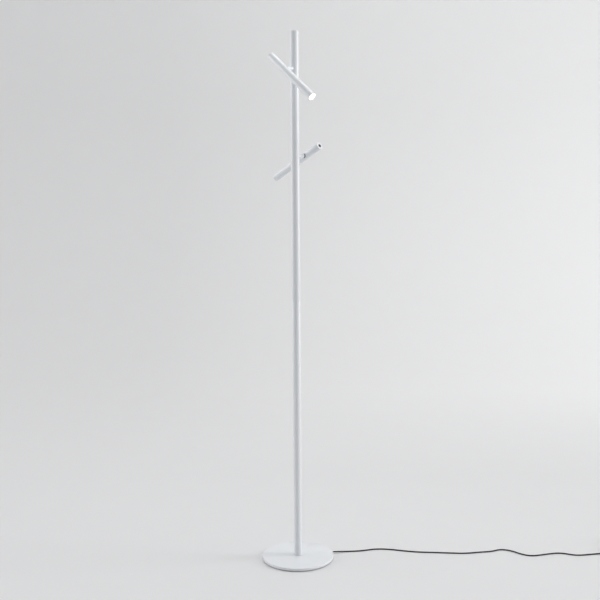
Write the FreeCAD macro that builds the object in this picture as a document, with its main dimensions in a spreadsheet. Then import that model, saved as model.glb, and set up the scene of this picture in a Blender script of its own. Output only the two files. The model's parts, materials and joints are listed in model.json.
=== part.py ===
"""Slim free-standing floor lamp: a round disc base, a thin white pole in two sections and two
stick-shaped spots, each on a short stub out of the pole, with a black low-voltage lead that ends in a
plug-in driver.

Millimetres and degrees. +Z is up and the floor is z = 0, under the middle of the pole. +X is to the
right of someone who looks along +Y at the lamp.
"""
import FreeCAD, Part
import math
import os
import re

import Sketcher

Vector = FreeCAD.Vector
Placement = FreeCAD.Placement
Rotation = FreeCAD.Rotation

# ---------------------------------------------------------------- driving dimensions
SIZES = [
    ("overall_height", 1600, "floor to the top of the pole cap"),
    ("fit_gap", 0.05, "radial gap of pieces that are pushed or screwed together"),
    ("running_gap", 0.08, "radial gap of a shaft that turns or slides in its hole"),
    # base
    ("base_diameter", 220, "round base plate"),
    ("base_thickness", 8, "base plate"),
    ("base_edge_round", 1.5, "round on the upper rim of the plate"),
    ("base_edge_bevel", 0.6, "bevel on the lower rim of the plate"),
    ("pad_diameter", 206, "non-slip pad under the plate"),
    ("pad_thickness", 2.5, "non-slip pad"),
    ("seat_depth", 1, "recess in the plate that the pole stands in"),
    ("foot_height", 24, "plug in the lower end of the pole"),
    ("foot_slot_reach", 5.6, "cord slot in the plug, from the pole axis"),
    ("plate_slot_reach", 9, "cord slot through the plate, from the pole axis"),
    ("foot_screw_spacing", 14.4, "between the two screws into the plug"),
    ("foot_screw_diameter", 4, "shank"),
    ("foot_screw_length", 16, "shank under the head"),
    ("foot_screw_head_diameter", 6.8, "head"),
    ("foot_screw_head_height", 3.2, "head"),
    ("foot_screw_sink", 3.6, "depth of the counterbore in the plate"),
    ("screw_gap", 0.2, "radial gap round a screw and its head"),
    # pole
    ("pole_diameter", 25, "outside of both tubes"),
    ("pole_wall", 1.5, "tube wall"),
    ("lower_pole_length", 800, "lower tube"),
    ("seam_bevel", 0.35, "bevel on the tube ends that meet"),
    ("joiner_length", 80, "sleeve inside the seam"),
    ("joiner_wall", 2, "sleeve wall"),
    ("joiner_bevel", 0.8, "lead-in bevel of the sleeve"),
    ("cap_thickness", 2, "cap on the pole"),
    ("cap_edge_round", 0.6, "round on its rim"),
    ("cap_spigot_length", 10, "part of the cap inside the tube"),
    ("cap_spigot_wall", 1.6, "wall of that part"),
    # cord under the base
    ("cord_diameter", 4, "round two-core low-voltage lead"),
    ("cord_bearing", 15, "plan angle at which the cord leaves the base, from +X towards +Y"),
    ("groove_width", 4.6, "cord groove under the plate"),
    ("groove_depth", 5.6, "cord groove under the plate"),
    ("cord_head_gap", 0.1, "between the cord and the top of its groove"),
    ("cord_bend_radius", 10, "centre line of the bend up into the pole"),
    ("grommet_width", 8.8, "strain relief in the rim of the base"),
    ("grommet_height", 6.2, "its block inside the plate"),
    ("grommet_depth", 12, "its block inside the plate"),
    ("grommet_reach", 4.5, "how far its nose stands out of the rim"),
    ("grommet_taper", 0.3, "how much thinner its nose is at the tip, as a radius"),
    ("clamp_inset", 25, "cord clamp, in from the rim of the base"),
    ("clamp_length", 24, "strap across the groove"),
    ("clamp_width", 9, "strap along the groove"),
    ("clamp_thickness", 1.2, "strap"),
    ("clamp_gap", 0.15, "round the strap in its pocket"),
    ("clamp_screw_spacing", 16, "between its two countersunk screws"),
    ("clamp_screw_diameter", 3, "shank"),
    ("clamp_screw_head_diameter", 5.2, "countersunk head"),
    ("clamp_screw_length", 4.8, "whole screw"),
    # arms
    ("upper_arm_drop", 108, "axis of the upper arm, below the top of the lamp"),
    ("lower_arm_drop", 358, "axis of the lower arm, below the top of the lamp"),
    ("upper_arm_bearing", 229, "plan angle of the upper arm from +X towards +Y"),
    ("lower_arm_bearing", 49, "plan angle of the lower arm"),
    ("upper_tilt", 38.5, "how far the upper spot points down from level"),
    ("lower_tilt", 28.2, "how far the lower spot points down from level"),
    ("spot_offset", 50, "pole axis to spot axis, along the arm"),
    ("arm_diameter", 12.5, "stub and collar"),
    ("arm_edge_bevel", 0.4, "bevel on the outer end of the stub"),
    ("arm_bore_diameter", 5.2, "wire bore"),
    ("arm_spigot_diameter", 8, "threaded end that passes the pole wall"),
    ("arm_spigot_depth", 3.2, "how far it stands into the pole"),
    ("nut_diameter", 14, "saddle nut inside the pole"),
    ("nut_depth", 3.8, "saddle nut, in from the pole's inner wall"),
    # pivot between arm and spot
    ("collar_length", 3, "black collar, from the stub to the nearest line of the spot"),
    ("collar_edge_bevel", 0.3, "bevel where the collar meets the stub"),
    ("bolt_diameter", 5.9, "hollow pivot bolt"),
    ("bolt_bore_diameter", 3, "wire bore in the bolt"),
    ("bolt_grip", 9.5, "length of the bolt inside the stub"),
    ("bolt_head_diameter", 9.2, "head inside the spot"),
    ("bolt_head_height", 1.6, "head"),
    ("socket_flats", 4, "hexagon in the bolt head"),
    ("socket_depth", 1, "hexagon in the bolt head"),
    ("washer_diameter", 9.6, "conical spring washer"),
    ("washer_thickness", 0.55, "sheet of the spring washer"),
    ("washer_height", 0.8, "whole height of the cone"),
    ("bush_diameter", 10, "bush inside the spot's wall"),
    ("bush_height", 3.3, "bush, from the spot's inner wall to its flat face"),
    # spots
    ("head_diameter", 22, "tube of the spot"),
    ("head_wall", 1.2, "tube wall"),
    ("head_front", 140, "arm axis to the lit end"),
    ("head_rear", 60, "arm axis to the rear end"),
    ("mouth_wall", 0.7, "tube wall round the diffuser"),
    ("rear_cap_thickness", 3.5, "rear cap outside the tube"),
    ("rear_cap_bevel", 0.35, "bevels on the rear cap"),
    ("rear_cap_spigot", 6.5, "part of the rear cap inside the tube"),
    ("button_diameter", 9.4, "black push button"),
    ("button_edge_round", 0.5, "round on the button's rim"),
    ("button_proud", 1, "how far the button stands out of the cap at rest"),
    ("button_travel", 1.2, "how far it can be pressed"),
    ("button_shoulder_diameter", 11.4, "shoulder that keeps the button in the cap"),
    ("button_shoulder_thickness", 1, "shoulder"),
    ("button_room_diameter", 12.4, "room in the cap behind the button"),
    ("stem_diameter", 3.2, "stem of the button"),
    ("stem_reach", 0.6, "how far the stem stands in the switch at rest"),
    ("switch_width", 6.4, "push switch"),
    ("switch_height", 4, "push switch"),
    ("switch_well", 2.2, "hole in the switch for the stem"),
    ("switch_wall", 1.1, "between that hole and the rear end of the cap's spigot"),
    ("board_thickness", 1.2, "printed circuit boards"),
    ("dimmer_start", 14, "dimmer board, from the arm axis"),
    ("dimmer_length", 64, "dimmer board"),
    ("dimmer_width", 17.2, "dimmer board"),
    ("dimmer_offset", 3, "dimmer board, from the spot axis"),
    ("dimmer_chip_height", 2.1, "chip that the wires are soldered beside"),
    ("sink_length", 28, "heat sink"),
    ("sink_groove_count", 12, "grooves round the heat sink"),
    ("sink_groove_width", 1.4, "grooves"),
    ("sink_groove_depth", 2.2, "grooves"),
    ("sink_bore_diameter", 2.4, "wire bore through the heat sink"),
    ("led_diameter", 9, "light-emitting dome"),
    ("led_height", 0.8, "light-emitting dome"),
    ("reflector_length", 7.6, "reflector cup"),
    ("reflector_wall", 0.7, "reflector cup"),
    ("diffuser_thickness", 2.2, "opal disc in the lit end"),
    ("diffuser_recess", 0.3, "how deep the disc sits in the mouth"),
    ("feed_diameter", 2.2, "thin lead to each spot"),
    ("feed_bend_radius", 5, "its bend into the arm"),
    ("feed_side", 2, "its distance from the pole axis"),
    ("wire_diameter", 1.6, "wires inside a spot"),
    ("wire_gap", 0.2, "between the end of a wire and what it meets"),
    ("junction_drop", 72, "underside of the terminal block, below the axis of the lower arm"),
    ("junction_length", 16, "terminal block"),
    ("junction_width", 20.2, "terminal block"),
    ("junction_depth", 8, "terminal block"),
    # cord on the floor
    ("floor_gap", 0.1, "under a cord that lies on the floor"),
    ("coil_x", 1002, "middle of the coil"),
    ("coil_y", 40, "middle of the coil"),
    ("coil_inner_radius", 16, "tightest half turn of the coil, on the centre line"),
    ("coil_pitch", 4.55, "one turn to the next"),
    ("coil_rise", 4.55, "lower layer to upper layer"),
    ("coil_half_turns", 12, "half turns in both layers"),
    ("coil_lift", 1, "under the coil, where the tie passes"),
    ("coil_end", 4.5, "straight end of the coil"),
    ("coil_approach", 42.5, "last run of the cord before the coil"),
    ("tie_width", 8, "strap round the coil"),
    ("tie_thickness", 0.8, "strap"),
    ("tie_gap", 0.6, "between the strap and the outer turn"),
    ("tie_slack", 1.6, "between the strap and the inner turn at its middle"),
    # plug-in driver
    ("driver_x", 1066, "middle of the driver case"),
    ("driver_y", 74, "cord end of the driver case"),
    ("driver_length", 62, "case"),
    ("driver_width", 40, "case"),
    ("driver_height", 30, "case"),
    ("driver_split", 18, "height of the seam of the case"),
    ("driver_wall", 2, "case"),
    ("driver_corner_round", 5, "upright corners of the case"),
    ("driver_edge_round", 1.5, "upper and lower rims of the case"),
    ("relief_length", 24, "strain relief on the driver"),
    ("relief_diameter", 8, "strain relief at the case"),
    ("relief_tip_diameter", 5.4, "strain relief at its tip"),
    ("relief_bore", 8, "how far the cord stands in the strain relief"),
    ("relief_grooves", 5, "rings of the strain relief"),
    ("relief_groove_pitch", 3.6, "one ring groove to the next"),
    ("relief_groove_width", 1.4, "ring grooves"),
    ("relief_groove_depth", 0.45, "ring grooves"),
    ("relief_spigot_diameter", 5, "part of the strain relief in the wall of the case"),
    ("relief_spigot_room", 4, "between the near wall and the driver's board"),
    ("relief_height", 4.6, "axis of the strain relief above the floor"),
    ("pin_diameter", 4, "mains pins"),
    ("pin_length", 19, "mains pins outside the case"),
    ("pin_root", 6, "mains pins inside the case"),
    ("pin_spacing", 18.6, "between the mains pins"),
    ("pin_place", 38, "mains pins, from the cord end of the case"),
    ("grip_count", 7, "finger grooves in each long side"),
    ("grip_start", 14, "first groove, from the cord end"),
    ("grip_pitch", 3.4, "one groove to the next"),
    ("grip_width", 1.4, "finger grooves"),
    ("grip_depth", 0.7, "finger grooves"),
    ("board_gap", 1, "round the driver's board"),
    ("transformer_place", 14, "block on the driver's board, from the cord end"),
    ("capacitor_diameter", 8, "capacitor on the driver's board"),
    ("transformer_width", 16, "block on the driver's board"),
    ("transformer_height", 11, "block on the driver's board"),
]

# Points of the cord on the floor, from the base to the coil, seen from above. Its first and last
# points are worked out from the sizes above.
FLOOR_ROUTE = [
    (152, 41.5), (197, 43.5), (247, 61), (293, 56), (339, 41.5), (386, 31), (433, 28), (481, 22.5),
    (528, 19), (577, 29), (612, 33), (643, 51), (675, 38), (700, 9), (730, -6), (776, 8), (824, 20),
    (868, -4), (912, 4),
]

document = FreeCAD.newDocument("pole_lamp")
sheet = document.addObject("Spreadsheet::Sheet", "Sizes")
for row, (alias, amount, meaning) in enumerate(SIZES, start=1):
    sheet.set("A%d" % row, meaning)
    sheet.set("B%d" % row, str(amount))
    sheet.setAlias("B%d" % row, alias)
document.recompute()

WORD = re.compile(r"[a-z][a-z_]*")


def formula(text):
    """A formula in the names of the sizes, as an expression on the sheet."""
    return WORD.sub(lambda found: "Sizes." + found.group(0), str(text))


def number(text):
    """The present value of such a formula."""
    return float(sheet.evalExpression(formula(text)))


def bind(thing, sizes):
    """Ties properties of an object to formulas."""
    for name, text in sizes.items():
        thing.setExpression(name, formula(text))


# ---------------------------------------------------------------- features
def closed_sketch(body, plane, outline, height="0"):
    """A closed outline of straight lines on one of the body's own planes. Each corner is a pair of
    formulas, and the sketch is fully tied to them."""
    sketch = body.newObject("Sketcher::SketchObject", body.Name + "_outline")
    face = next(item for item in body.Origin.OriginFeatures if item.Role == plane)
    sketch.AttachmentSupport = [(face, "")]
    sketch.MapMode = "FlatFace"
    if height != "0":
        bind(sketch, {"AttachmentOffset.Base.z": height})
    corners = [Vector(number(across), number(up), 0) for across, up in outline]
    for index, corner in enumerate(corners):
        sketch.addGeometry(Part.LineSegment(corner, corners[(index + 1) % len(corners)]), False)
    for index in range(len(corners)):
        sketch.addConstraint(Sketcher.Constraint("Coincident", index, 2, (index + 1) % len(corners), 1))
    for index, pair in enumerate(outline):
        for kind, axis, text in zip(("DistanceX", "DistanceY"), (-2, -1), pair):
            if text == "0":
                sketch.addConstraint(Sketcher.Constraint("PointOnObject", index, 1, axis))
                continue
            place = number(text)
            tie = sketch.addConstraint(Sketcher.Constraint(kind, -1, 1, index, 1, place))
            sketch.setExpression("Constraints[%d]" % tie, formula(text))
    return sketch


def turned(label, outline):
    """A piece turned about its own Z axis from half its section, given as radius and height."""
    body = document.addObject("PartDesign::Body", label)
    sketch = closed_sketch(body, "XZ_Plane", outline)
    spin = body.newObject("PartDesign::Revolution", label + "_turning")
    spin.Profile = sketch
    spin.ReferenceAxis = (sketch, ["V_Axis"])
    spin.Angle = 360
    return body


def block(label, low, high):
    """A rectangular piece between two opposite corners, each three formulas."""
    body = document.addObject("PartDesign::Body", label)
    outline = [(low[0], low[1]), (high[0], low[1]), (high[0], high[1]), (low[0], high[1])]
    sketch = closed_sketch(body, "XY_Plane", outline, low[2])
    pad = body.newObject("PartDesign::Pad", label + "_pad")
    pad.Profile = sketch
    bind(pad, {"Length": "(%s) - (%s)" % (high[2], low[2])})
    return body


def dress(body, kind, size, wanted):
    """Rounds (Fillet) or bevels (Chamfer) the edges of a body for which wanted(edge) is true."""
    document.recompute()
    base = body.Tip
    names = ["Edge%d" % (index + 1) for index, edge in enumerate(base.Shape.Edges) if wanted(edge)]
    if not names:
        raise RuntimeError("no edge to dress on " + body.Name)
    feature = body.newObject("PartDesign::" + kind, body.Name + "_" + kind.lower())
    feature.Base = (base, names)
    bind(feature, {"Radius" if kind == "Fillet" else "Size": size})


def ring(radius, height):
    """A test for the circle of that radius at that height."""
    def wanted(edge):
        curve = edge.Curve
        return (isinstance(curve, Part.Circle) and abs(curve.Radius - number(radius)) < 1e-4
                and abs(curve.Center.z - number(height)) < 1e-4)
    return wanted


def upright(edge):
    """A test for straight edges along Z."""
    ends = [vertex.Point for vertex in edge.Vertexes]
    return len(ends) == 2 and isinstance(edge.Curve, Part.Line) and abs((ends[1] - ends[0]).x) < 1e-6 \
        and abs((ends[1] - ends[0]).y) < 1e-6


TURNS = {
    "Z": Rotation(),
    "X": Rotation(Vector(0, 1, 0), 90),
    "Y": Rotation(Vector(1, 0, 0), -90),
}


def rod(label, radius, length, start=("0", "0", "0"), along="Z"):
    """A plain cylinder from a start point along one axis."""
    piece = document.addObject("Part::Cylinder", label)
    piece.Placement = Placement(Vector(), TURNS[along])
    bind(piece, {"Radius": radius, "Height": length, "Placement.Base.x": start[0],
                 "Placement.Base.y": start[1], "Placement.Base.z": start[2]})
    return piece


def brick(label, low, high):
    """A plain box between two opposite corners, used as a tool."""
    piece = document.addObject("Part::Box", label)
    bind(piece, {"Length": "(%s) - (%s)" % (high[0], low[0]), "Width": "(%s) - (%s)" % (high[1], low[1]),
                 "Height": "(%s) - (%s)" % (high[2], low[2]), "Placement.Base.x": low[0],
                 "Placement.Base.y": low[1], "Placement.Base.z": low[2]})
    return piece


def cone(label, first_radius, last_radius, length, start, along):
    piece = document.addObject("Part::Cone", label)
    piece.Placement = Placement(Vector(), TURNS[along])
    bind(piece, {"Radius1": first_radius, "Radius2": last_radius, "Height": length,
                 "Placement.Base.x": start[0], "Placement.Base.y": start[1], "Placement.Base.z": start[2]})
    return piece


def fuse(label, pieces):
    whole = document.addObject("Part::MultiFuse", label)
    whole.Shapes = pieces
    return whole


def cut(label, base, tools):
    """The base without its tools."""
    rest = document.addObject("Part::Cut", label)
    rest.Base = base
    rest.Tool = tools[0] if len(tools) == 1 else fuse(label + "_tools", tools)
    return rest


def common(label, first, second):
    """What two pieces share."""
    shared = document.addObject("Part::Common", label)
    shared.Base = first
    shared.Tool = second
    return shared


def group(label, pieces):
    """Separate solids of one kind that share a node."""
    several = document.addObject("Part::Compound", label)
    several.Links = pieces
    return several


NODES = {}


def node(label, piece, frame=None):
    """Names a finished sub-part and puts it in its place."""
    piece.Label = label
    if frame is not None:
        piece.Placement = frame
    NODES[label] = piece


# ---------------------------------------------------------------- frames
def along_bearing(degrees):
    return Vector(math.cos(math.radians(degrees)), math.sin(math.radians(degrees)), 0)


def axes(across, forward, origin):
    """A frame with its X across and its Z forward."""
    return Placement(origin, Rotation(across, forward.cross(across), forward, "ZXY"))


def spot_frames(which):
    """The three frames of one spot: the arm (Z out of the pole, X up), the pivot (Z out of the pole,
    X towards the lit end) and the head (Z towards the lit end, X out of the pole, origin where the
    arm's axis meets the spot's)."""
    bearing = number(which + "_arm_bearing")
    tilt = math.radians(number(which + "_tilt"))
    outward = along_bearing(bearing)
    forward = along_bearing(bearing + 90) * math.cos(tilt) - Vector(0, 0, math.sin(tilt))
    root = Vector(0, 0, number(ARM_HEIGHT[which]))
    middle = root + outward * number("spot_offset")
    return axes(Vector(0, 0, 1), outward, root), axes(forward, outward, root), axes(outward, forward, middle)


# Levels and places that several pieces share.
ARM_HEIGHT = {"upper": "overall_height - upper_arm_drop", "lower": "overall_height - lower_arm_drop"}
JUNCTION = ARM_HEIGHT["lower"] + " - junction_drop"
CLAMP = "(base_diameter / 2 - clamp_inset)"
BASE_FRAME = Placement(Vector(), Rotation(Vector(0, 0, 1), number("cord_bearing")))

PLATE_TOP = "pad_thickness + base_thickness"
POLE_START = PLATE_TOP + " - seat_depth"
SEAM = POLE_START + " + lower_pole_length"
POLE_INSIDE = "pole_diameter / 2 - pole_wall"
CORD_HEIGHT = "pad_thickness + groove_depth - cord_head_gap - cord_diameter / 2"
HEAD_INSIDE = "head_diameter / 2 - head_wall"


# ---------------------------------------------------------------- base
def base_plate():
    """Disc with a seat for the pole above, and below it the cord groove, the mouth for the grommet,
    the pocket of the clamp and the counterbores of the two foot screws."""
    rim = "base_diameter / 2"
    seat = "pole_diameter / 2 + fit_gap"
    disc = turned("base_disc", [
        ("0", "pad_thickness"), (rim, "pad_thickness"), (rim, PLATE_TOP), (seat, PLATE_TOP),
        (seat, POLE_START), ("0", POLE_START)])
    dress(disc, "Fillet", "base_edge_round", ring(rim, PLATE_TOP))
    dress(disc, "Chamfer", "base_edge_bevel", ring(rim, "pad_thickness"))
    half_groove = "groove_width / 2"
    beyond = rim + " + 5"
    tools = [
        brick("groove", ("0", "-" + half_groove, "pad_thickness - 1"),
              (beyond, half_groove, "pad_thickness + groove_depth")),
        brick("plate_slot", ("0", "-" + half_groove, "0"), ("plate_slot_reach", half_groove, PLATE_TOP)),
        rod("plate_slot_end", half_groove, PLATE_TOP),
        brick("mouth", (rim + " - grommet_depth - fit_gap", "-grommet_width / 2 - fit_gap", "pad_thickness - 1"),
              (beyond, "grommet_width / 2 + fit_gap", "pad_thickness + grommet_height + 2 * fit_gap")),
        brick("clamp_pocket",
              (CLAMP + " - clamp_width / 2 - clamp_gap", "-clamp_length / 2 - clamp_gap",
               "pad_thickness - 1"),
              (CLAMP + " + clamp_width / 2 + clamp_gap", "clamp_length / 2 + clamp_gap",
               "pad_thickness + clamp_thickness + 2 * fit_gap")),
    ]
    for side, sign in (("left", ""), ("right", "-")):
        tools.append(rod("clamp_hole_" + side, "clamp_screw_diameter / 2 + fit_gap",
                         "clamp_screw_length + 0.5",
                         (CLAMP, sign + "clamp_screw_spacing / 2", "pad_thickness")))
        tools.append(rod("foot_hole_" + side, "foot_screw_diameter / 2 + screw_gap", PLATE_TOP,
                         ("0", sign + "foot_screw_spacing / 2", "0")))
        tools.append(rod("foot_sink_" + side, "foot_screw_head_diameter / 2 + screw_gap",
                         "pad_thickness + foot_screw_sink",
                         ("0", sign + "foot_screw_spacing / 2", "0")))
    node("base_plate", cut("plate_cut", disc, tools), BASE_FRAME)


def base_pad():
    """Soft disc that keeps the plate off the floor."""
    pad = turned("pad", [("0", "0"), ("pad_diameter / 2", "0"), ("pad_diameter / 2", "pad_thickness"),
                         ("0", "pad_thickness")])
    node("base_pad", pad)


def pole_foot():
    """Plug in the lower end of the pole, with a slot that lets the cord bend up and two screw holes."""
    outside = POLE_INSIDE + " - fit_gap"
    plug = turned("plug", [("0", POLE_START), (outside, POLE_START), (outside, POLE_START + " + foot_height"),
                           ("0", POLE_START + " + foot_height")])
    dress(plug, "Chamfer", "joiner_bevel", ring(outside, POLE_START + " + foot_height"))
    half = "groove_width / 2"
    top = POLE_START + " + foot_height + 1"
    tools = [brick("foot_slot", ("0", "-" + half, "0"), ("foot_slot_reach", half, top)),
             rod("foot_slot_end", half, top)]
    for side, sign in (("left", ""), ("right", "-")):
        tools.append(rod("foot_thread_" + side, "foot_screw_diameter / 2 + fit_gap",
                         "pad_thickness + foot_screw_sink + foot_screw_length + 1",
                         ("0", sign + "foot_screw_spacing / 2", "0")))
    node("pole_foot", cut("plug_cut", plug, tools), BASE_FRAME)


def foot_screws():
    """Two cap screws from below, heads up in their counterbores."""
    seat = "pad_thickness + foot_screw_sink"
    screws = []
    for side, sign in (("left", 1), ("right", -1)):
        shank = turned("foot_shank_" + side, [
            ("0", seat + " - foot_screw_head_height"),
            ("foot_screw_head_diameter / 2", seat + " - foot_screw_head_height"),
            ("foot_screw_head_diameter / 2", seat), ("foot_screw_diameter / 2", seat),
            ("foot_screw_diameter / 2", seat + " + foot_screw_length"), ("0", seat + " + foot_screw_length")])
        socket = document.addObject("Part::Prism", "foot_socket_" + side)
        socket.Polygon = 6
        bind(socket, {"Circumradius": "foot_screw_diameter * 0.43", "Height": "foot_screw_head_height * 0.55",
                      "Placement.Base.z": seat + " - foot_screw_head_height"})
        screw = cut("foot_screw_" + side, shank, [socket])
        screw.Placement = Placement(Vector(0, sign * number("foot_screw_spacing / 2"), 0), Rotation())
        screws.append(screw)
    node("foot_screws", group("foot_screw_pair", screws), BASE_FRAME)


def cord_grommet():
    """Strain relief: a block in the mouth of the groove and a short tapered nose outside the rim."""
    rim = "base_diameter / 2"
    body = brick("grommet_block", (rim + " - grommet_depth", "-grommet_width / 2", "pad_thickness"),
                 (rim + " - 1", "grommet_width / 2", "pad_thickness + grommet_height"))
    nose_radius = "pad_thickness + grommet_height - (%s)" % CORD_HEIGHT
    nose = cone("grommet_nose", nose_radius, nose_radius + " - grommet_taper", "grommet_reach + 1.2",
                (rim + " - 1.2", "0", CORD_HEIGHT), "X")
    bore = rod("grommet_bore", "cord_diameter / 2 + fit_gap", "grommet_depth + grommet_reach + 4",
               (rim + " - grommet_depth - 2", "0", CORD_HEIGHT), "X")
    node("cord_grommet", cut("grommet_cut", fuse("grommet_whole", [body, nose]), [bore]), BASE_FRAME)


def cord_clamp():
    """Flat strap across the groove, with two countersunk screws."""
    level = "pad_thickness + fit_gap"
    strap = block("strap", (CLAMP + " - clamp_width / 2", "-clamp_length / 2", level),
                  (CLAMP + " + clamp_width / 2", "clamp_length / 2", level + " + clamp_thickness"))
    dress(strap, "Fillet", "clamp_width / 4", upright)
    sinks = []
    screws = []
    for side, sign in (("left", 1), ("right", -1)):
        place = (CLAMP, "%d * clamp_screw_spacing / 2" % sign, level)
        sinks.append(cone("strap_sink_" + side, "clamp_screw_head_diameter / 2 + fit_gap",
                          "clamp_screw_diameter / 2 + fit_gap", "clamp_thickness", place, "Z"))
        shank = turned("clamp_shank_" + side, [
            ("0", level), ("clamp_screw_head_diameter / 2", level),
            ("clamp_screw_diameter / 2", level + " + clamp_thickness"),
            ("clamp_screw_diameter / 2", level + " + clamp_screw_length"), ("0", level + " + clamp_screw_length")])
        slit = brick("clamp_slit_" + side, ("-2", "-0.35", level + " - 0.1"), ("2", "0.35", level + " + 0.6"))
        screw = cut("clamp_screw_" + side, shank, [slit])
        screw.Placement = Placement(Vector(number(place[0]), number(place[1]), 0), Rotation())
        screws.append(screw)
    node("cord_clamp", cut("strap_cut", strap, sinks), BASE_FRAME)
    node("clamp_screws", group("clamp_screw_pair", screws), BASE_FRAME)


# ---------------------------------------------------------------- pole
def tube(label, low, high, bevel_low, bevel_high):
    """Pole tube between two levels, with a fine bevel at each end."""
    inside = POLE_INSIDE
    outside = "pole_diameter / 2"
    return turned(label, [
        (inside, low), (outside + " - " + bevel_low, low), (outside, low + " + " + bevel_low),
        (outside, high + " - " + bevel_high), (outside + " - " + bevel_high, high), (inside, high)])


def pole():
    """Two tubes with a sleeve inside the seam, and a cap on top."""
    top = "overall_height - cap_thickness"
    node("lower_pole", tube("lower_tube", POLE_START, SEAM, "seam_bevel", "seam_bevel"))
    upper = tube("upper_tube", SEAM, top, "seam_bevel", "seam_bevel / 2")
    holes = []
    for which in ("upper", "lower"):
        hole = rod(which + "_wall_hole", "arm_spigot_diameter / 2 + fit_gap", "pole_diameter")
        hole.setExpression("Placement", None)
        for part in ("x", "y", "z"):
            hole.setExpression("Placement.Base." + part, None)
        hole.Placement = spot_frames(which)[0]
        holes.append(hole)
    node("upper_pole", cut("upper_tube_cut", upper, holes))

    outside = POLE_INSIDE + " - fit_gap"
    low = SEAM + " - joiner_length / 2"
    high = SEAM + " + joiner_length / 2"
    sleeve = turned("sleeve", [
        (outside + " - joiner_wall", low), (outside + " - joiner_bevel", low), (outside, low + " + joiner_bevel"),
        (outside, high + " - joiner_bevel"), (outside + " - joiner_bevel", high),
        (outside + " - joiner_wall", high)])
    node("pole_joiner", sleeve)

    spigot = top + " - cap_spigot_length"
    cap = turned("cap", [
        ("0", "overall_height"), ("0", top), (outside + " - cap_spigot_wall", top),
        (outside + " - cap_spigot_wall", spigot), (outside, spigot), (outside, top),
        ("pole_diameter / 2", top), ("pole_diameter / 2", "overall_height")])
    dress(cap, "Fillet", "cap_edge_round", ring("pole_diameter / 2", "overall_height"))
    node("pole_cap", cap)


def junction_block():
    """Terminal block held across the bore of the pole, square to the two arms."""
    body = block("terminal", ("-junction_depth / 2", "-junction_width / 2", JUNCTION),
                 ("junction_depth / 2", "junction_width / 2", JUNCTION + " + junction_length"))
    dress(body, "Fillet", "junction_depth / 8", upright)
    turn = Rotation(Vector(0, 0, 1), number("upper_arm_bearing"))
    node("junction_block", body, Placement(Vector(), turn))


# ---------------------------------------------------------------- arms and pivots
def arm(which):
    """Stub with a saddle that fits the pole and a threaded spigot through the pole's wall."""
    arm_frame, pivot_frame, head_frame = spot_frames(which)
    end = "spot_offset - head_diameter / 2 - collar_length"
    radius = "arm_diameter / 2"
    root = POLE_INSIDE + " - arm_spigot_depth"
    barrel = turned(which + "_barrel", [
        ("0", root), (radius, root), (radius, end + " - arm_edge_bevel"), (radius + " - arm_edge_bevel", end),
        ("0", end)])
    saddled = cut(which + "_saddled", barrel, [
        rod(which + "_saddle", "pole_diameter / 2 + fit_gap", "pole_diameter * 2", ("-pole_diameter", "0", "0"),
            "X")])
    spigot = rod(which + "_spigot", "arm_spigot_diameter / 2", "arm_spigot_depth + pole_wall + 2", ("0", "0", root))
    whole = fuse(which + "_stub", [saddled, spigot])
    bores = [rod(which + "_arm_bore", "arm_bore_diameter / 2", end, ("0", "0", "0")),
             rod(which + "_arm_thread", "bolt_diameter / 2 + fit_gap", "bolt_grip + 1", ("0", "0", end + " - bolt_grip"))]
    node(which + "_arm", cut(which + "_arm_cut", whole, bores), arm_frame)

    nut = turned(which + "_nut_blank", [
        ("arm_spigot_diameter / 2 + fit_gap", POLE_INSIDE + " - nut_depth"),
        ("nut_diameter / 2", POLE_INSIDE + " - nut_depth"), ("nut_diameter / 2", POLE_INSIDE),
        ("arm_spigot_diameter / 2 + fit_gap", POLE_INSIDE)])
    inner_wall = rod(which + "_inner_wall", POLE_INSIDE + " - fit_gap", "pole_diameter * 2",
                     ("-pole_diameter", "0", "0"), "X")
    node(which + "_arm_nut", common(which + "_nut_fitted", nut, inner_wall), arm_frame)


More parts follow.
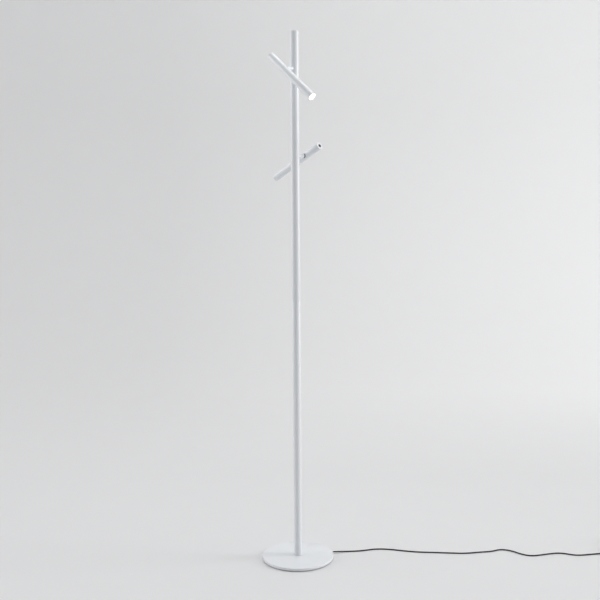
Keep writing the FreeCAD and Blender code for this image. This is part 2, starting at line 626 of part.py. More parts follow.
def pivot(which):
    """Hollow bolt, spring washer, inner bush and black collar: the friction pivot of a spot."""
    arm_frame, pivot_frame, head_frame = spot_frames(which)
    stub_end = "spot_offset - head_diameter / 2 - collar_length"
    bush_face = "spot_offset - head_diameter / 2 + head_wall + bush_height"
    seat = bush_face + " + washer_height"
    hole = "bolt_diameter / 2 + running_gap"

    bolt = turned(which + "_bolt_blank", [
        ("bolt_bore_diameter / 2", stub_end + " - bolt_grip"), ("bolt_diameter / 2", stub_end + " - bolt_grip"),
        ("bolt_diameter / 2", seat), ("bolt_head_diameter / 2", seat),
        ("bolt_head_diameter / 2", seat + " + bolt_head_height"),
        ("bolt_bore_diameter / 2", seat + " + bolt_head_height")])
    socket = document.addObject("Part::Prism", which + "_socket")
    socket.Polygon = 6
    bind(socket, {"Circumradius": "socket_flats / 1.732", "Height": "socket_depth + 1",
                  "Placement.Base.z": seat + " + bolt_head_height - socket_depth"})
    node(which + "_pivot_bolt", cut(which + "_bolt_cut", bolt, [socket]), arm_frame)

    washer = turned(which + "_washer", [
        (hole, seat + " - washer_thickness"), ("washer_diameter / 2", bush_face),
        ("washer_diameter / 2", bush_face + " + washer_thickness"), (hole, seat)])
    node(which + "_spring_washer", washer, arm_frame)

    bush = turned(which + "_bush_blank", [
        (hole, bush_face + " - bush_height - 1"), ("bush_diameter / 2", bush_face + " - bush_height - 1"),
        ("bush_diameter / 2", bush_face), (hole, bush_face)])
    bush_wall = rod(which + "_bush_wall", HEAD_INSIDE + " - fit_gap", "head_diameter * 2",
                    ("-head_diameter", "0", "spot_offset"), "X")
    node(which + "_inner_bush", common(which + "_bush_fitted", bush, bush_wall), pivot_frame)

    collar = turned(which + "_collar_blank", [
        (hole, stub_end), ("arm_diameter / 2 - collar_edge_bevel", stub_end),
        ("arm_diameter / 2", stub_end + " + collar_edge_bevel"), ("arm_diameter / 2", stub_end + " + collar_length * 2"),
        (hole, stub_end + " + collar_length * 2")])
    spot_wall = rod(which + "_spot_wall", "head_diameter / 2 + fit_gap", "head_diameter * 2",
                    ("-head_diameter", "0", "spot_offset"), "X")
    node(which + "_collar", cut(which + "_collar_cut", collar, [spot_wall]), pivot_frame)


# ---------------------------------------------------------------- spots
def head_tube(which, frame):
    """Tube of the spot: thinner wall round the diffuser, and the hole of the pivot in its side."""
    mouth = "head_front - diffuser_thickness - diffuser_recess"
    start = "-(head_rear - rear_cap_thickness)"
    shell = turned(which + "_shell", [
        (HEAD_INSIDE, start), ("head_diameter / 2", start), ("head_diameter / 2", "head_front"),
        ("head_diameter / 2 - mouth_wall", "head_front"), ("head_diameter / 2 - mouth_wall", mouth),
        (HEAD_INSIDE, mouth)])
    hole = rod(which + "_side_hole", "bolt_diameter / 2 + running_gap", "head_diameter / 2",
               ("-head_diameter / 2 - 3", "0", "0"), "X")
    node(which + "_head_tube", cut(which + "_shell_cut", shell, [hole]), frame)


# Levels inside a spot, from its rear end.
CAP_INNER = "-(head_rear - rear_cap_thickness)"
CAP_END = CAP_INNER + " + rear_cap_spigot"
SWITCH_FACE = CAP_END + " - switch_wall"
SWITCH_BACK = SWITCH_FACE + " + switch_height"


def rear_cap(which, frame):
    """Cap pushed into the rear of the tube, with the hole of the button."""
    spigot = HEAD_INSIDE + " - fit_gap"
    hole = "button_diameter / 2 + running_gap"
    cap = turned(which + "_cap_blank", [
        (hole, "-head_rear"), ("head_diameter / 2 - rear_cap_bevel", "-head_rear"),
        ("head_diameter / 2", "-head_rear + rear_cap_bevel"), ("head_diameter / 2", CAP_INNER + " - rear_cap_bevel"),
        ("head_diameter / 2 - rear_cap_bevel", CAP_INNER), (spigot, CAP_INNER), (spigot, CAP_END),
        ("button_room_diameter / 2", CAP_END), ("button_room_diameter / 2", CAP_INNER), (hole, CAP_INNER)])
    node(which + "_rear_cap", cap, frame)


def button(which, frame):
    """Push button with a shoulder behind the cap and a stem that reaches into the switch."""
    face = "-head_rear - button_proud"
    shoulder = CAP_INNER + " + fit_gap"
    behind = shoulder + " + button_shoulder_thickness"
    knob = turned(which + "_knob", [
        ("0", face), ("button_diameter / 2", face), ("button_diameter / 2", shoulder),
        ("button_shoulder_diameter / 2", shoulder), ("button_shoulder_diameter / 2", behind),
        ("stem_diameter / 2", behind), ("stem_diameter / 2", SWITCH_FACE + " + stem_reach"),
        ("0", SWITCH_FACE + " + stem_reach")])
    dress(knob, "Fillet", "button_edge_round", ring("button_diameter / 2", face))
    node(which + "_button", knob, frame)


def switch(which, frame):
    """Push switch on a small round board that fits the tube."""
    half = "switch_width / 2"
    housing = brick(which + "_switch_housing", ("-" + half, "-" + half, SWITCH_FACE), (half, half, SWITCH_BACK))
    board = rod(which + "_switch_board", HEAD_INSIDE + " - fit_gap * 3", "board_thickness", ("0", "0", SWITCH_BACK))
    well = rod(which + "_switch_well", "stem_diameter / 2 + running_gap", "switch_well", ("0", "0", SWITCH_FACE))
    node(which + "_switch", cut(which + "_switch_cut", fuse(which + "_switch_whole", [housing, board]), [well]),
         frame)


def dimmer_board(which, frame):
    """Long board in the chord of the tube, with a chip, a coil and two capacitors on one side."""
    face = "dimmer_offset"
    half = "dimmer_width / 2"
    board = brick(which + "_dimmer_sheet", (face, "-" + half, "dimmer_start"),
                  (face + " + board_thickness", half, "dimmer_start + dimmer_length"))
    chip = brick(which + "_chip", (face + " - dimmer_chip_height", "-3", "dimmer_start + dimmer_length - 9"),
                 (face, "3", "dimmer_start + dimmer_length - 1"))
    coil = rod(which + "_choke", "3.4", "4", (face + " - 4", "0", "dimmer_start + dimmer_length / 2"), "X")
    parts = [board, chip, coil]
    for side, place in (("rear", "0.22"), ("front", "0.68")):
        parts.append(rod(which + "_capacitor_" + side, "2.4", "5",
                         (face + " - 5", "0", "dimmer_start + dimmer_length * " + place), "X"))
    node(which + "_dimmer_board", fuse(which + "_dimmer_whole", parts), frame)


# Levels in the lit end of a spot, from the arm's axis.
DIFFUSER_BACK = "head_front - diffuser_recess - diffuser_thickness"
REFLECTOR_BACK = DIFFUSER_BACK + " - reflector_length"
LED_BACK = REFLECTOR_BACK + " - fit_gap - board_thickness"


def heat_sink(which, frame):
    """Aluminium slug with grooves along its outside, pushed into the tube behind the light source."""
    radius = HEAD_INSIDE + " - fit_gap"
    start = LED_BACK + " - sink_length"
    body = turned(which + "_sink", [("sink_bore_diameter / 2", start), (radius, start), (radius, LED_BACK),
                                    ("sink_bore_diameter / 2", LED_BACK)])
    half = "sink_groove_width / 2"
    outline = [(radius + " - sink_groove_depth", "-" + half), ("head_diameter", "-" + half),
               ("head_diameter", half), (radius + " - sink_groove_depth", half)]
    document.recompute()
    before = body.Shape.Volume
    sketch = closed_sketch(body, "XY_Plane", outline, start)
    groove = body.newObject("PartDesign::Pocket", which + "_sink_groove")
    groove.Profile = sketch
    groove.Reversed = True
    bind(groove, {"Length": "sink_length"})
    document.recompute()
    if body.Shape.Volume > before - 1:
        raise RuntimeError("the heat sink's groove cuts nothing")
    around = body.newObject("PartDesign::PolarPattern", which + "_sink_grooves")
    around.Originals = [groove]
    around.Axis = (sketch, ["N_Axis"])
    around.Angle = 360
    bind(around, {"Occurrences": "sink_groove_count"})
    body.Tip = around
    node(which + "_heat_sink", body, frame)


def light_source(which, frame):
    """Round board with a light-emitting dome, reflector cup and opal disc."""
    board_top = LED_BACK + " + board_thickness"
    board = turned(which + "_led_sheet", [
        ("0", LED_BACK), (HEAD_INSIDE + " - fit_gap * 4", LED_BACK), (HEAD_INSIDE + " - fit_gap * 4", board_top),
        ("led_diameter / 2", board_top), ("led_diameter / 2 - 0.8", board_top + " + led_height"),
        ("0", board_top + " + led_height")])
    node(which + "_led_board", board, frame)

    small = "led_diameter / 2 + 0.3"
    large = HEAD_INSIDE + " - fit_gap - reflector_wall"
    lip = DIFFUSER_BACK + " - reflector_wall"
    cup = turned(which + "_cup", [
        (small, REFLECTOR_BACK), (small + " + reflector_wall", REFLECTOR_BACK),
        (large, lip), (HEAD_INSIDE + " - fit_gap", lip), (HEAD_INSIDE + " - fit_gap", DIFFUSER_BACK),
        (large, DIFFUSER_BACK)])
    node(which + "_reflector", cup, frame)

    disc = turned(which + "_disc", [
        ("0", DIFFUSER_BACK), ("head_diameter / 2 - mouth_wall - fit_gap", DIFFUSER_BACK),
        ("head_diameter / 2 - mouth_wall - fit_gap", "head_front - diffuser_recess"),
        ("0", "head_front - diffuser_recess")])
    node(which + "_diffuser", disc, frame)


# ---------------------------------------------------------------- cords and wires
def rounded_path(points, radii=None):
    """Straight runs joined by tangent arcs. Each arc is as large as its two runs allow, unless its
    radius is given. Returns the wire and the radii used."""
    edges = []
    used = []
    start = points[0]
    for index in range(1, len(points) - 1):
        before, corner, after = points[index - 1:index + 2]
        inward = (corner - before).normalize()
        outward = (after - corner).normalize()
        half = inward.getAngle(outward) / 2
        if radii is None:
            radius = 0.45 * min((corner - before).Length, (after - corner).Length) / math.tan(half)
        else:
            radius = radii[index - 1]
        reach = radius * math.tan(half)
        first = corner - inward * reach
        last = corner + outward * reach
        towards = (outward - inward).normalize()
        middle = corner + towards * (radius / math.cos(half) - radius)
        edges.append(Part.LineSegment(start, first).toShape())
        edges.append(Part.Arc(first, middle, last).toShape())
        start = last
        used.append(radius)
    edges.append(Part.LineSegment(start, points[-1]).toShape())
    return Part.Wire(edges), used


def tube_shape(path, diameter):
    """A round solid along a wire, with its volume compared to section times length."""
    first = path.OrderedEdges[0]
    tangent = first.tangentAt(first.FirstParameter)
    ring_edge = Part.Circle(first.valueAt(first.FirstParameter), tangent, diameter / 2).toShape()
    solid = path.makePipeShell([Part.Wire([ring_edge])], True, False)
    expected = math.pi * diameter ** 2 / 4 * path.Length
    if abs(solid.Volume / expected - 1) > 0.01:
        raise RuntimeError("a cord's volume is not its section times its length")
    return solid


def cord_node(label, path, diameter):
    """A sub-part that is a tube along a wire."""
    piece = document.addObject("Part::Feature", label)
    piece.Shape = tube_shape(path, diameter)
    node(label, piece)
    return path.Length


CORD = number("cord_diameter")


def cord_inside():
    """The cord under the plate and up the pole to the terminal block."""
    outward = along_bearing(number("cord_bearing"))
    level = Vector(0, 0, number(CORD_HEIGHT))
    tip = number("base_diameter / 2 + grommet_reach")
    top = Vector(0, 0, number(JUNCTION + " - wire_gap"))
    path, used = rounded_path([outward * tip + level, level, top], [number("cord_bend_radius")])
    return cord_node("cord_inner", path, CORD)


def feed(which):
    """Thin lead from the terminal block up the pole, through the arm and the pivot bolt."""
    outward = along_bearing(number(which + "_arm_bearing"))
    side = outward * number("feed_side")
    start = Vector(0, 0, number(JUNCTION + " + junction_length + wire_gap")) + side
    level = Vector(0, 0, number(ARM_HEIGHT[which]))
    mouth = number("spot_offset - head_diameter / 2 + head_wall + bush_height + washer_height + bolt_head_height")
    path, used = rounded_path([start, level + side, level + outward * mouth], [number("feed_bend_radius")])
    cord_node(which + "_feed", path, number("feed_diameter"))


def head_wires(which, frame):
    """Wires inside a spot: from the pivot bolt to the dimmer board, and from its chip through the heat
    sink to the light source."""
    thick = number("wire_diameter")
    mouth = number("-head_diameter / 2 + head_wall + bush_height + washer_height + bolt_head_height + wire_gap")
    beside = number("dimmer_offset - wire_gap") - thick / 2
    first, used = rounded_path([
        Vector(mouth, 0, 0), Vector(beside, 0, 0), Vector(beside, 0, number("dimmer_start + 6"))], [2.5 * thick])
    chip_face = number("dimmer_offset - dimmer_chip_height")
    run = Part.Wire([Part.LineSegment(
        Vector(chip_face - thick / 2 - 0.05, 0, number("dimmer_start + dimmer_length - 8")),
        Vector(chip_face - thick / 2 - 0.05, 0, number(LED_BACK + " - wire_gap"))).toShape()])
    piece = document.addObject("Part::Feature", which + "_wires")
    piece.Shape = Part.makeCompound([tube_shape(first, thick), tube_shape(run, thick)])
    node(which + "_head_wires", piece, frame)


def coil_path():
    """Two layers of half turns: in at the bottom, up in the tightest half turn, and out on top. The
    cord arrives and leaves along +X on the near side of the coil."""
    middle = Vector(number("coil_x"), number("coil_y"), number("coil_lift") + CORD / 2)
    step = number("coil_pitch") / 2
    halves = int(number("coil_half_turns"))
    climb = halves // 2
    radii = [number("coil_inner_radius") + abs(index - climb) * step for index in range(halves)]
    near = Vector(0, -1, 0)
    along = Vector(1, 0, 0)
    up = Vector(0, 0, number("coil_rise"))
    place = middle + near * radii[0]
    side = 1
    edges = [Part.LineSegment(place - along * number("coil_end"), place).toShape()]
    for index, radius in enumerate(radii):
        rise = up if index == climb else Vector()
        across = near * (-2 * side * radius) + rise
        bulge = along * (side * across.Length / 2)
        edges.append(Part.Arc(place, place + across / 2 + bulge, place + across).toShape())
        place = place + across
        side = -side
    edges.append(Part.LineSegment(place, place + along * number("coil_end")).toShape())
    return Part.Wire(edges), radii


def least_gap(path, diameter, spacing=1.5):
    """Smallest gap between parts of a cord that are more than one turn's quarter apart."""
    count = int(path.Length / spacing)
    points = path.discretize(count)
    apart = int(8 * diameter / spacing)
    least = min((points[one] - points[other]).Length
                for one in range(count) for other in range(one + apart, count))
    return least - diameter


def floor_cord():
    """The free cord from the grommet to the coil, the coil, and the tail to the driver."""
    outward = along_bearing(number("cord_bearing"))
    tip = number("base_diameter / 2 + grommet_reach")
    level = CORD / 2 + number("floor_gap")
    coil, radii = coil_path()
    coil_ends = [coil.OrderedVertexes[0].Point, coil.OrderedVertexes[-1].Point]
    start = outward * tip + Vector(0, 0, number(CORD_HEIGHT))
    points = [start, outward * (tip + 18) + Vector(0, 0, 4.4)]
    points += [Vector(x, y, level) for x, y in FLOOR_ROUTE]
    points += [coil_ends[0] - Vector(number("coil_approach"), 0, 0), coil_ends[0]]
    path, used = rounded_path(points)
    free = cord_node("cord_free", path, CORD)
    print("free cord radii", [round(radius) for radius in used])

    wound = cord_node("cord_coil", coil, CORD)
    print("coil half turn radii", [round(radius, 1) for radius in radii],
          "least gap %.2f" % least_gap(coil, CORD))

    end = coil_ends[1]
    relief = Vector(number("driver_x"), number("driver_y - relief_length"), number("relief_height"))
    points = [end, end + Vector(21, 0, 0), Vector(relief.x - 13, relief.y - 34, level + 0.5),
              relief - Vector(0, 14, 0), relief + Vector(0, number("relief_bore - wire_gap"), 0)]
    path, used = rounded_path(points)
    tail = cord_node("cord_tail", path, CORD)
    print("tail radii", [round(radius) for radius in used])
    print("cord lengths: free %.0f, coil %.0f, tail %.0f, together %.0f mm"
          % (free, wound, tail, free + wound + tail))


def coil_tie():
    """Strap round the six turns on the side of the coil that faces the lamp."""
    high_side = "coil_x - coil_inner_radius - coil_pitch / 2 + cord_diameter / 2 + tie_slack"
    turns = "coil_half_turns / 2 - 1"
    low_side = "coil_x - coil_inner_radius - (%s) * coil_pitch / 2 - cord_diameter / 2 - tie_gap" % turns
    top = "coil_lift + coil_rise + cord_diameter + tie_gap / 2"
    strap = block("tie_strap", (low_side + " - tie_thickness", "coil_y - tie_width / 2", "0"),
                  (high_side + " + tie_thickness", "coil_y + tie_width / 2", top + " + tie_thickness"))
    dress(strap, "Fillet", "tie_thickness * 2",
          lambda edge: isinstance(edge.Curve, Part.Line) and abs(edge.tangentAt(0).y) > 0.99)
    hole = brick("tie_hole", (low_side, "coil_y - tie_width", "tie_thickness"),
                 (high_side, "coil_y + tie_width", top))
    node("coil_tie", cut("tie_cut", strap, [hole]))


# ---------------------------------------------------------------- plug-in driver
def grip_grooves(body):
    """Upright grooves for the fingers, a row in each long side of the case."""
    base = body.Tip
    for side, sign in (("left", "-"), ("right", "")):
        deep = "%sdriver_width / 2 %s grip_depth" % (sign, "+" if sign else "-")
        out = "%sdriver_width / 2 %s 1" % (sign, "-" if sign else "+")
        inner, outer = (out, deep) if sign else (deep, out)
        outline = [(inner, "grip_start"), (outer, "grip_start"), (outer, "grip_start + grip_width"),
                   (inner, "grip_start + grip_width")]
        sketch = closed_sketch(body, "XY_Plane", outline, "grip_width * 2")
        groove = body.newObject("PartDesign::Pocket", "grip_" + side)
        groove.Profile = sketch
        groove.Reversed = True
        bind(groove, {"Length": "driver_split - grip_width * 4"})
        document.recompute()
        row = body.newObject("PartDesign::LinearPattern", "grip_row_" + side)
        row.Originals = [groove]
        row.Direction = (sketch, ["V_Axis"])
        bind(row, {"Length": "grip_pitch * (grip_count - 1)", "Occurrences": "grip_count"})
        body.Tip = row
        document.recompute()
    if body.Shape.Volume > base.Shape.Volume - 1:
        raise RuntimeError("the grip grooves cut nothing")


def driver():
    """Plug-in driver on its back: case in two shells, pins upward, board and strain relief. Its own
    frame has the cord's entry at the middle of its near end."""
    half = "driver_width / 2"
    place = Placement(Vector(number("driver_x"), number("driver_y"), 0), Rotation())

    def rim(level):
        return lambda edge: all(abs(vertex.Z - number(level)) < 1e-4 for vertex in edge.Vertexes)

    lower = block("case_blank", ("-" + half, "0", "0"), (half, "driver_length", "driver_split"))
    dress(lower, "Fillet", "driver_corner_round", upright)
    dress(lower, "Fillet", "driver_edge_round", rim("0"))
    document.recompute()
    grip_grooves(lower)
    inner = "driver_width / 2 - driver_wall"
    hollow = brick("case_hollow", ("-(" + inner + ")", "driver_wall", "driver_wall"),
                   (inner, "driver_length - driver_wall", "driver_height"))
    entry = rod("case_entry", "relief_spigot_diameter / 2 + fit_gap", "driver_wall + 2",
                ("0", "-1", "relief_height"), "Y")
    node("driver_case", cut("case_cut", lower, [hollow, entry]), place)

    upper = block("lid_blank", ("-" + half, "0", "driver_split"), (half, "driver_length", "driver_height"))
    dress(upper, "Fillet", "driver_corner_round", upright)
    dress(upper, "Fillet", "driver_edge_round", rim("driver_height"))
    tools = [brick("lid_hollow", ("-(" + inner + ")", "driver_wall", "0"),
                   (inner, "driver_length - driver_wall", "driver_height - driver_wall"))]
    pins = []
    for side, sign in (("left", "-"), ("right", "")):
        spot = (sign + "pin_spacing / 2", "pin_place")
        tools.append(rod("lid_pin_hole_" + side, "pin_diameter / 2 + fit_gap", "driver_height * 2", spot + ("0",)))
        pin = turned("pin_" + side, [
            ("0", "driver_height - pin_root"), ("pin_diameter / 2", "driver_height - pin_root"),
            ("pin_diameter / 2", "driver_height + pin_length"), ("0", "driver_height + pin_length")])
        dress(pin, "Fillet", "pin_diameter * 0.3", ring("pin_diameter / 2", "driver_height + pin_length"))
        pin.Placement = Placement(Vector(number(spot[0]), number(spot[1]), 0), Rotation())
        pins.append(pin)
    node("driver_lid", cut("lid_cut", upper, tools), place)
    node("plug_pins", group("pin_pair", pins), place)

    edge = "driver_width / 2 - driver_wall - board_gap"
    board = brick("driver_sheet", ("-(" + edge + ")", "driver_wall + relief_spigot_room", "driver_wall"),
                  (edge, "driver_length - driver_wall - board_gap", "driver_wall + board_thickness"))
    block_low = "driver_wall + board_thickness"
    core = brick("transformer", ("-transformer_width / 2", "transformer_place", block_low),
                 ("transformer_width / 2", "transformer_place + transformer_width",
                  block_low + " + transformer_height"))
    capacitor = rod("driver_capacitor", "capacitor_diameter / 2", "transformer_height",
                    ("0", "driver_length - transformer_place + 2", block_low))
    node("driver_board", fuse("driver_board_whole", [board, core, capacitor]), place)

    def side(distance, inwards="0"):
        """Radius of the strain relief at a distance from its tip."""
        return ("relief_tip_diameter / 2 + (relief_diameter - relief_tip_diameter) / 2 * (%s) / relief_length"
                " - %s" % (distance, inwards))

    outline = [("0", "0"), (side("0"), "0")]
    for index in range(int(number("relief_grooves"))):
        start = "relief_groove_pitch * %d" % (index + 1)
        end = start + " + relief_groove_width"
        outline += [(side(start), start), (side(start, "relief_groove_depth"), start),
                    (side(end, "relief_groove_depth"), end), (side(end), end)]
    outline += [(side("relief_length"), "relief_length"), ("relief_spigot_diameter / 2", "relief_length"),
                ("relief_spigot_diameter / 2", "relief_length + driver_wall + 1"),
                ("0", "relief_length + driver_wall + 1")]
    taper = turned("relief_blank", outline)
    bore = rod("relief_hole", "cord_diameter / 2 + fit_gap", "relief_bore + 1", ("0", "0", "-1"))
    node("driver_relief", cut("relief_cut", taper, [bore]),
         Placement(place.Base + Vector(0, -number("relief_length"), number("relief_height")), TURNS["Y"]))


# ---------------------------------------------------------------- whole lamp
base_plate()
base_pad()
pole_foot()
foot_screws()
cord_grommet()
cord_clamp()
pole()
junction_block()
for spot in ("upper", "lower"):
    head = spot_frames(spot)[2]
    arm(spot)
    pivot(spot)
    head_tube(spot, head)
    rear_cap(spot, head)
    button(spot, head)
    switch(spot, head)
    dimmer_board(spot, head)
    heat_sink(spot, head)
    light_source(spot, head)
    head_wires(spot, head)
    feed(spot)
cord_inside()
floor_cord()
coil_tie()
driver()
document.recompute()

for thing in document.Objects:
    if "Invalid" in thing.State or "Error" in thing.State:
        raise RuntimeError("%s did not build" % thing.Label)
    if thing.TypeId == "Part::Cut" and thing.Shape.Volume > thing.Base.Shape.Volume - 0.01:
        raise RuntimeError("%s cuts nothing" % thing.Label)
for label, piece in NODES.items():
    if piece.Shape.isNull() or not piece.Shape.isValid() or not piece.Shape.Solids:
        raise RuntimeError("%s has no valid solid" % label)

os.makedirs("parts", exist_ok=True)
for label, piece in NODES.items():
    piece.Shape.exportStep("parts/%s.step" % label)
print(len(NODES), "nodes")
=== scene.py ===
"""Looks of the slim two-spot floor lamp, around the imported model.

Metres. +Z is up, the floor is z = 0 under the middle of the pole, and the camera looks along +Y. The pole,
the stubs, the outer pieces of the spots and the cord are made here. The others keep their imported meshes
and get a finish.
"""

import json
import math
from functools import cache

import bmesh
import bpy
import numpy as np
from bpy.props import FloatProperty, FloatVectorProperty, IntProperty, PointerProperty
from mathutils import Matrix, Vector


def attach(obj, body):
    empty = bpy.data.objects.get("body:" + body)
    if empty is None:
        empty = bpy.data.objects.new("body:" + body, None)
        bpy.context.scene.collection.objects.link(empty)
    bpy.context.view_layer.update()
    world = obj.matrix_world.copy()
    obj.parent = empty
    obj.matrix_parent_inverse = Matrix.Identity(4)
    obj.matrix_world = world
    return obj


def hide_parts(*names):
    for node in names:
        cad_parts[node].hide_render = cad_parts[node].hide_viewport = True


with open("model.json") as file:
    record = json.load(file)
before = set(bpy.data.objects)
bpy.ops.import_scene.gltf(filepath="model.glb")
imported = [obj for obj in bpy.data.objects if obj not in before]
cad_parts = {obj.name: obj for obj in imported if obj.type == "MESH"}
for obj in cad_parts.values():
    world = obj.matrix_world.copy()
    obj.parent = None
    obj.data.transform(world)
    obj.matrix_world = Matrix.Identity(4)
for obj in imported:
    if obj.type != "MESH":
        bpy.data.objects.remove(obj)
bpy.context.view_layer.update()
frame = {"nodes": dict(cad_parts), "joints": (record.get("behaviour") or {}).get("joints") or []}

bl_info = {
    "name": "Slim Two-Spot Floor Lamp",
    "version": (1, 0, 0),
    "blender": (4, 5, 0),
    "location": "View3D > Sidebar > Lamp",
    "description": "Builds the pole, base, spots, cord and plug-in driver of a slim floor lamp",
    "category": "Object",
}

JOINTS = {joint["name"]: joint for joint in frame["joints"]}
SPOTS = ("upper", "lower")
STAND = "stand"

UPRIGHT = Matrix.Identity(4)
# How finely the round pieces are divided: sides all round, steps in a rounded corner, rings of the disc.
SIDES = 96
DISC_SIDES = 64
ARC_STEPS = 5
DISC_RINGS = 9
# Points closer than this, in metres, melt. Edges up to these angles, in degrees, look smooth.
MELT = 1e-6
SMOOTH_ANGLE = 30
SADDLE_ANGLE = 40
# The flat of the opal disc as a share of its radius, and where the hollow in the button's face bends, as
# shares of the button's radius and of the hollow's depth.
DISC_FLAT = 0.97
DISH_BEND = (0.55, 0.6)

# Roundings of the rims, in metres.
ROUND = {"pole end": 0.00035, "seam": 0.0007, "pole cap": 0.0006, "joint": 0.0004, "lit rim": 0.0003,
         "mouth": 0.0001, "button hole": 0.0002, "button": 0.0005, "collar": 0.0003, "disc": 0.0002}


# ---------------------------------------------------------------- sizes and colours
def length(name, default, description):
    """Property for a length in metres."""
    return FloatProperty(name=name, description=description, default=default, unit="LENGTH")


def colour(name, default, description):
    """Property for a linear colour."""
    return FloatVectorProperty(name=name, description=description, subtype="COLOR", default=default, min=0,
                               max=1)


def amount(name, default, description):
    """Property for a strength or a power."""
    return FloatProperty(name=name, description=description, default=default, min=0)


def part_of_one(name, default, description):
    """Property for a value from 0 to 1."""
    return FloatProperty(name=name, description=description, default=default, min=0, max=1,
                         subtype="FACTOR")


class LampSizes(bpy.types.PropertyGroup):
    """Sizes of the pieces that are made here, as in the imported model."""

    fit_gap: length("Fit Gap", 0.00005, "Gap between pieces that fit together")
    pole_radius: length("Pole Radius", 0.0125, "Outside of both tubes")
    pole_wall: length("Pole Wall", 0.0015, "Tube wall")
    pole_start: length("Pole Start", 0.0095, "Lower end of the pole")
    pole_seam: length("Seam", 0.8095, "Height of the seam")
    lamp_height: length("Height", 1.6, "Floor to top of the cap")
    cap_thickness: length("Cap", 0.002, "Flange of the pole cap")
    cap_spigot: length("Cap Spigot", 0.01, "How far the pole cap reaches into the pole")
    cap_spigot_wall: length("Cap Spigot Wall", 0.0016, "Wall of that spigot")
    arm_radius: length("Arm Radius", 0.00625, "Stub and collar")
    arm_bore: length("Arm Bore", 0.003, "Bore of the stub, as a radius")
    arm_end: length("Arm End", 0.036, "Flat end of the stub, from the pole axis")
    collar_bore: length("Collar Bore", 0.00303, "Bore of the collar, as a radius")
    spot_offset: length("Spot Offset", 0.05, "Pole axis to spot axis")
    spot_radius: length("Spot Radius", 0.011, "Outside of the spot")
    spot_wall: length("Spot Wall", 0.0012, "Wall of the spot's tube")
    spot_front: length("Spot Front", 0.14, "Arm axis to the lit end")
    spot_rear: length("Spot Rear", 0.06, "Arm axis to the rear end")
    mouth_wall: length("Mouth Wall", 0.0007, "Wall round the opal disc")
    mouth_depth: length("Mouth Depth", 0.0025, "Lit end of the tube to the back of the disc")
    disc_recess: length("Disc Recess", 0.0003, "How far the disc sits behind the rim")
    rear_cap: length("Rear Cap", 0.0035, "Cap outside the tube")
    rear_spigot: length("Rear Spigot", 0.0065, "How far the rear cap reaches into the tube")
    button_radius: length("Button Radius", 0.0047, "Push button")
    button_gap: length("Button Gap", 0.00008, "Gap round the button")
    button_reach: length("Button Reach", 0.001, "How far the button stands out")
    button_dish: length("Button Dish", 0.00025, "Depth of the hollow in its face")
    button_room: length("Button Room", 0.0062, "Room behind the cap's face, as a radius")
    shoulder_radius: length("Shoulder Radius", 0.0057, "Shoulder that holds the button in the cap")
    shoulder_height: length("Shoulder Height", 0.001, "Thickness of that shoulder")
    stem_radius: length("Stem Radius", 0.0016, "Stem that reaches the switch")
    stem_end: length("Stem End", 0.006, "Rear end of the tube to the tip of the stem")
    cord_diameter: length("Cord", 0.004, "Diameter of the cord")


class LampFinish(bpy.types.PropertyGroup):
    """Colours of the finishes, linear, and how glossy or bright they are."""

    paint: colour("Paint", (0.775, 0.793, 0.817), "Satin white powder coat")
    paint_roughness: part_of_one("Paint Roughness", 0.42, "Gloss of the powder coat")
    black: colour("Black", (0.007, 0.007, 0.008), "Collars, buttons, cord and driver")
    glow: colour("Glow", (1.0, 0.97, 0.93), "Light of the spots")
    glow_strength: amount("Glow Strength", 4.0, "Brightness of the opal discs")


class StageLook(bpy.types.PropertyGroup):
    """Floor, backdrop, light and camera."""

    floor_color: colour("Floor", (0.75, 0.75, 0.75), "Colour of floor and backdrop")
    # Painted light on the backdrop: extra brightness seen on its back, growing from left to right.
    painted_light_left: amount("Painted Light Left", 0.02, "Extra brightness of the backdrop on the left")
    painted_light_right: amount("Painted Light Right", 0.145, "Extra brightness of the backdrop on the right")
    key_power: amount("Key", 337.0, "Tall soft light on the right, in watts")
    fill_power: amount("Fill", 216.0, "Large soft light on the left, in watts")
    top_power: amount("Top", 52.0, "Soft light overhead, in watts")
    room_light: amount("Room", 0.83, "Soft light from all sides")
    room_front: part_of_one("Room Front", 0.35, "Share of it that comes from the camera's side")
    room_seen: amount("Room Seen", 0.6, "Brightness of the room past the backdrop")
    image_size: IntProperty(name="Image Size", description="Width of the picture in pixels", default=600)
    focal_pixels: FloatProperty(name="Focal Length", description="Focal length in pixels of the picture",
                                default=981.5)
    camera_place: FloatVectorProperty(name="Camera", description="Where the camera stands", subtype="XYZ",
                                      unit="LENGTH", default=(0.0117, -2.925, 1.221))
    camera_pitch: FloatProperty(name="Pitch", description="How far the camera looks down",
                                subtype="ANGLE", default=math.radians(7.959))
    camera_roll: FloatProperty(name="Roll", description="Turn of the camera about its view",
                               subtype="ANGLE", default=math.radians(-0.384))


def sizes():
    """The sizes as they are set now."""
    return bpy.context.scene.lamp_sizes


def finish_look():
    """The colours as they are set now."""
    return bpy.context.scene.lamp_finish


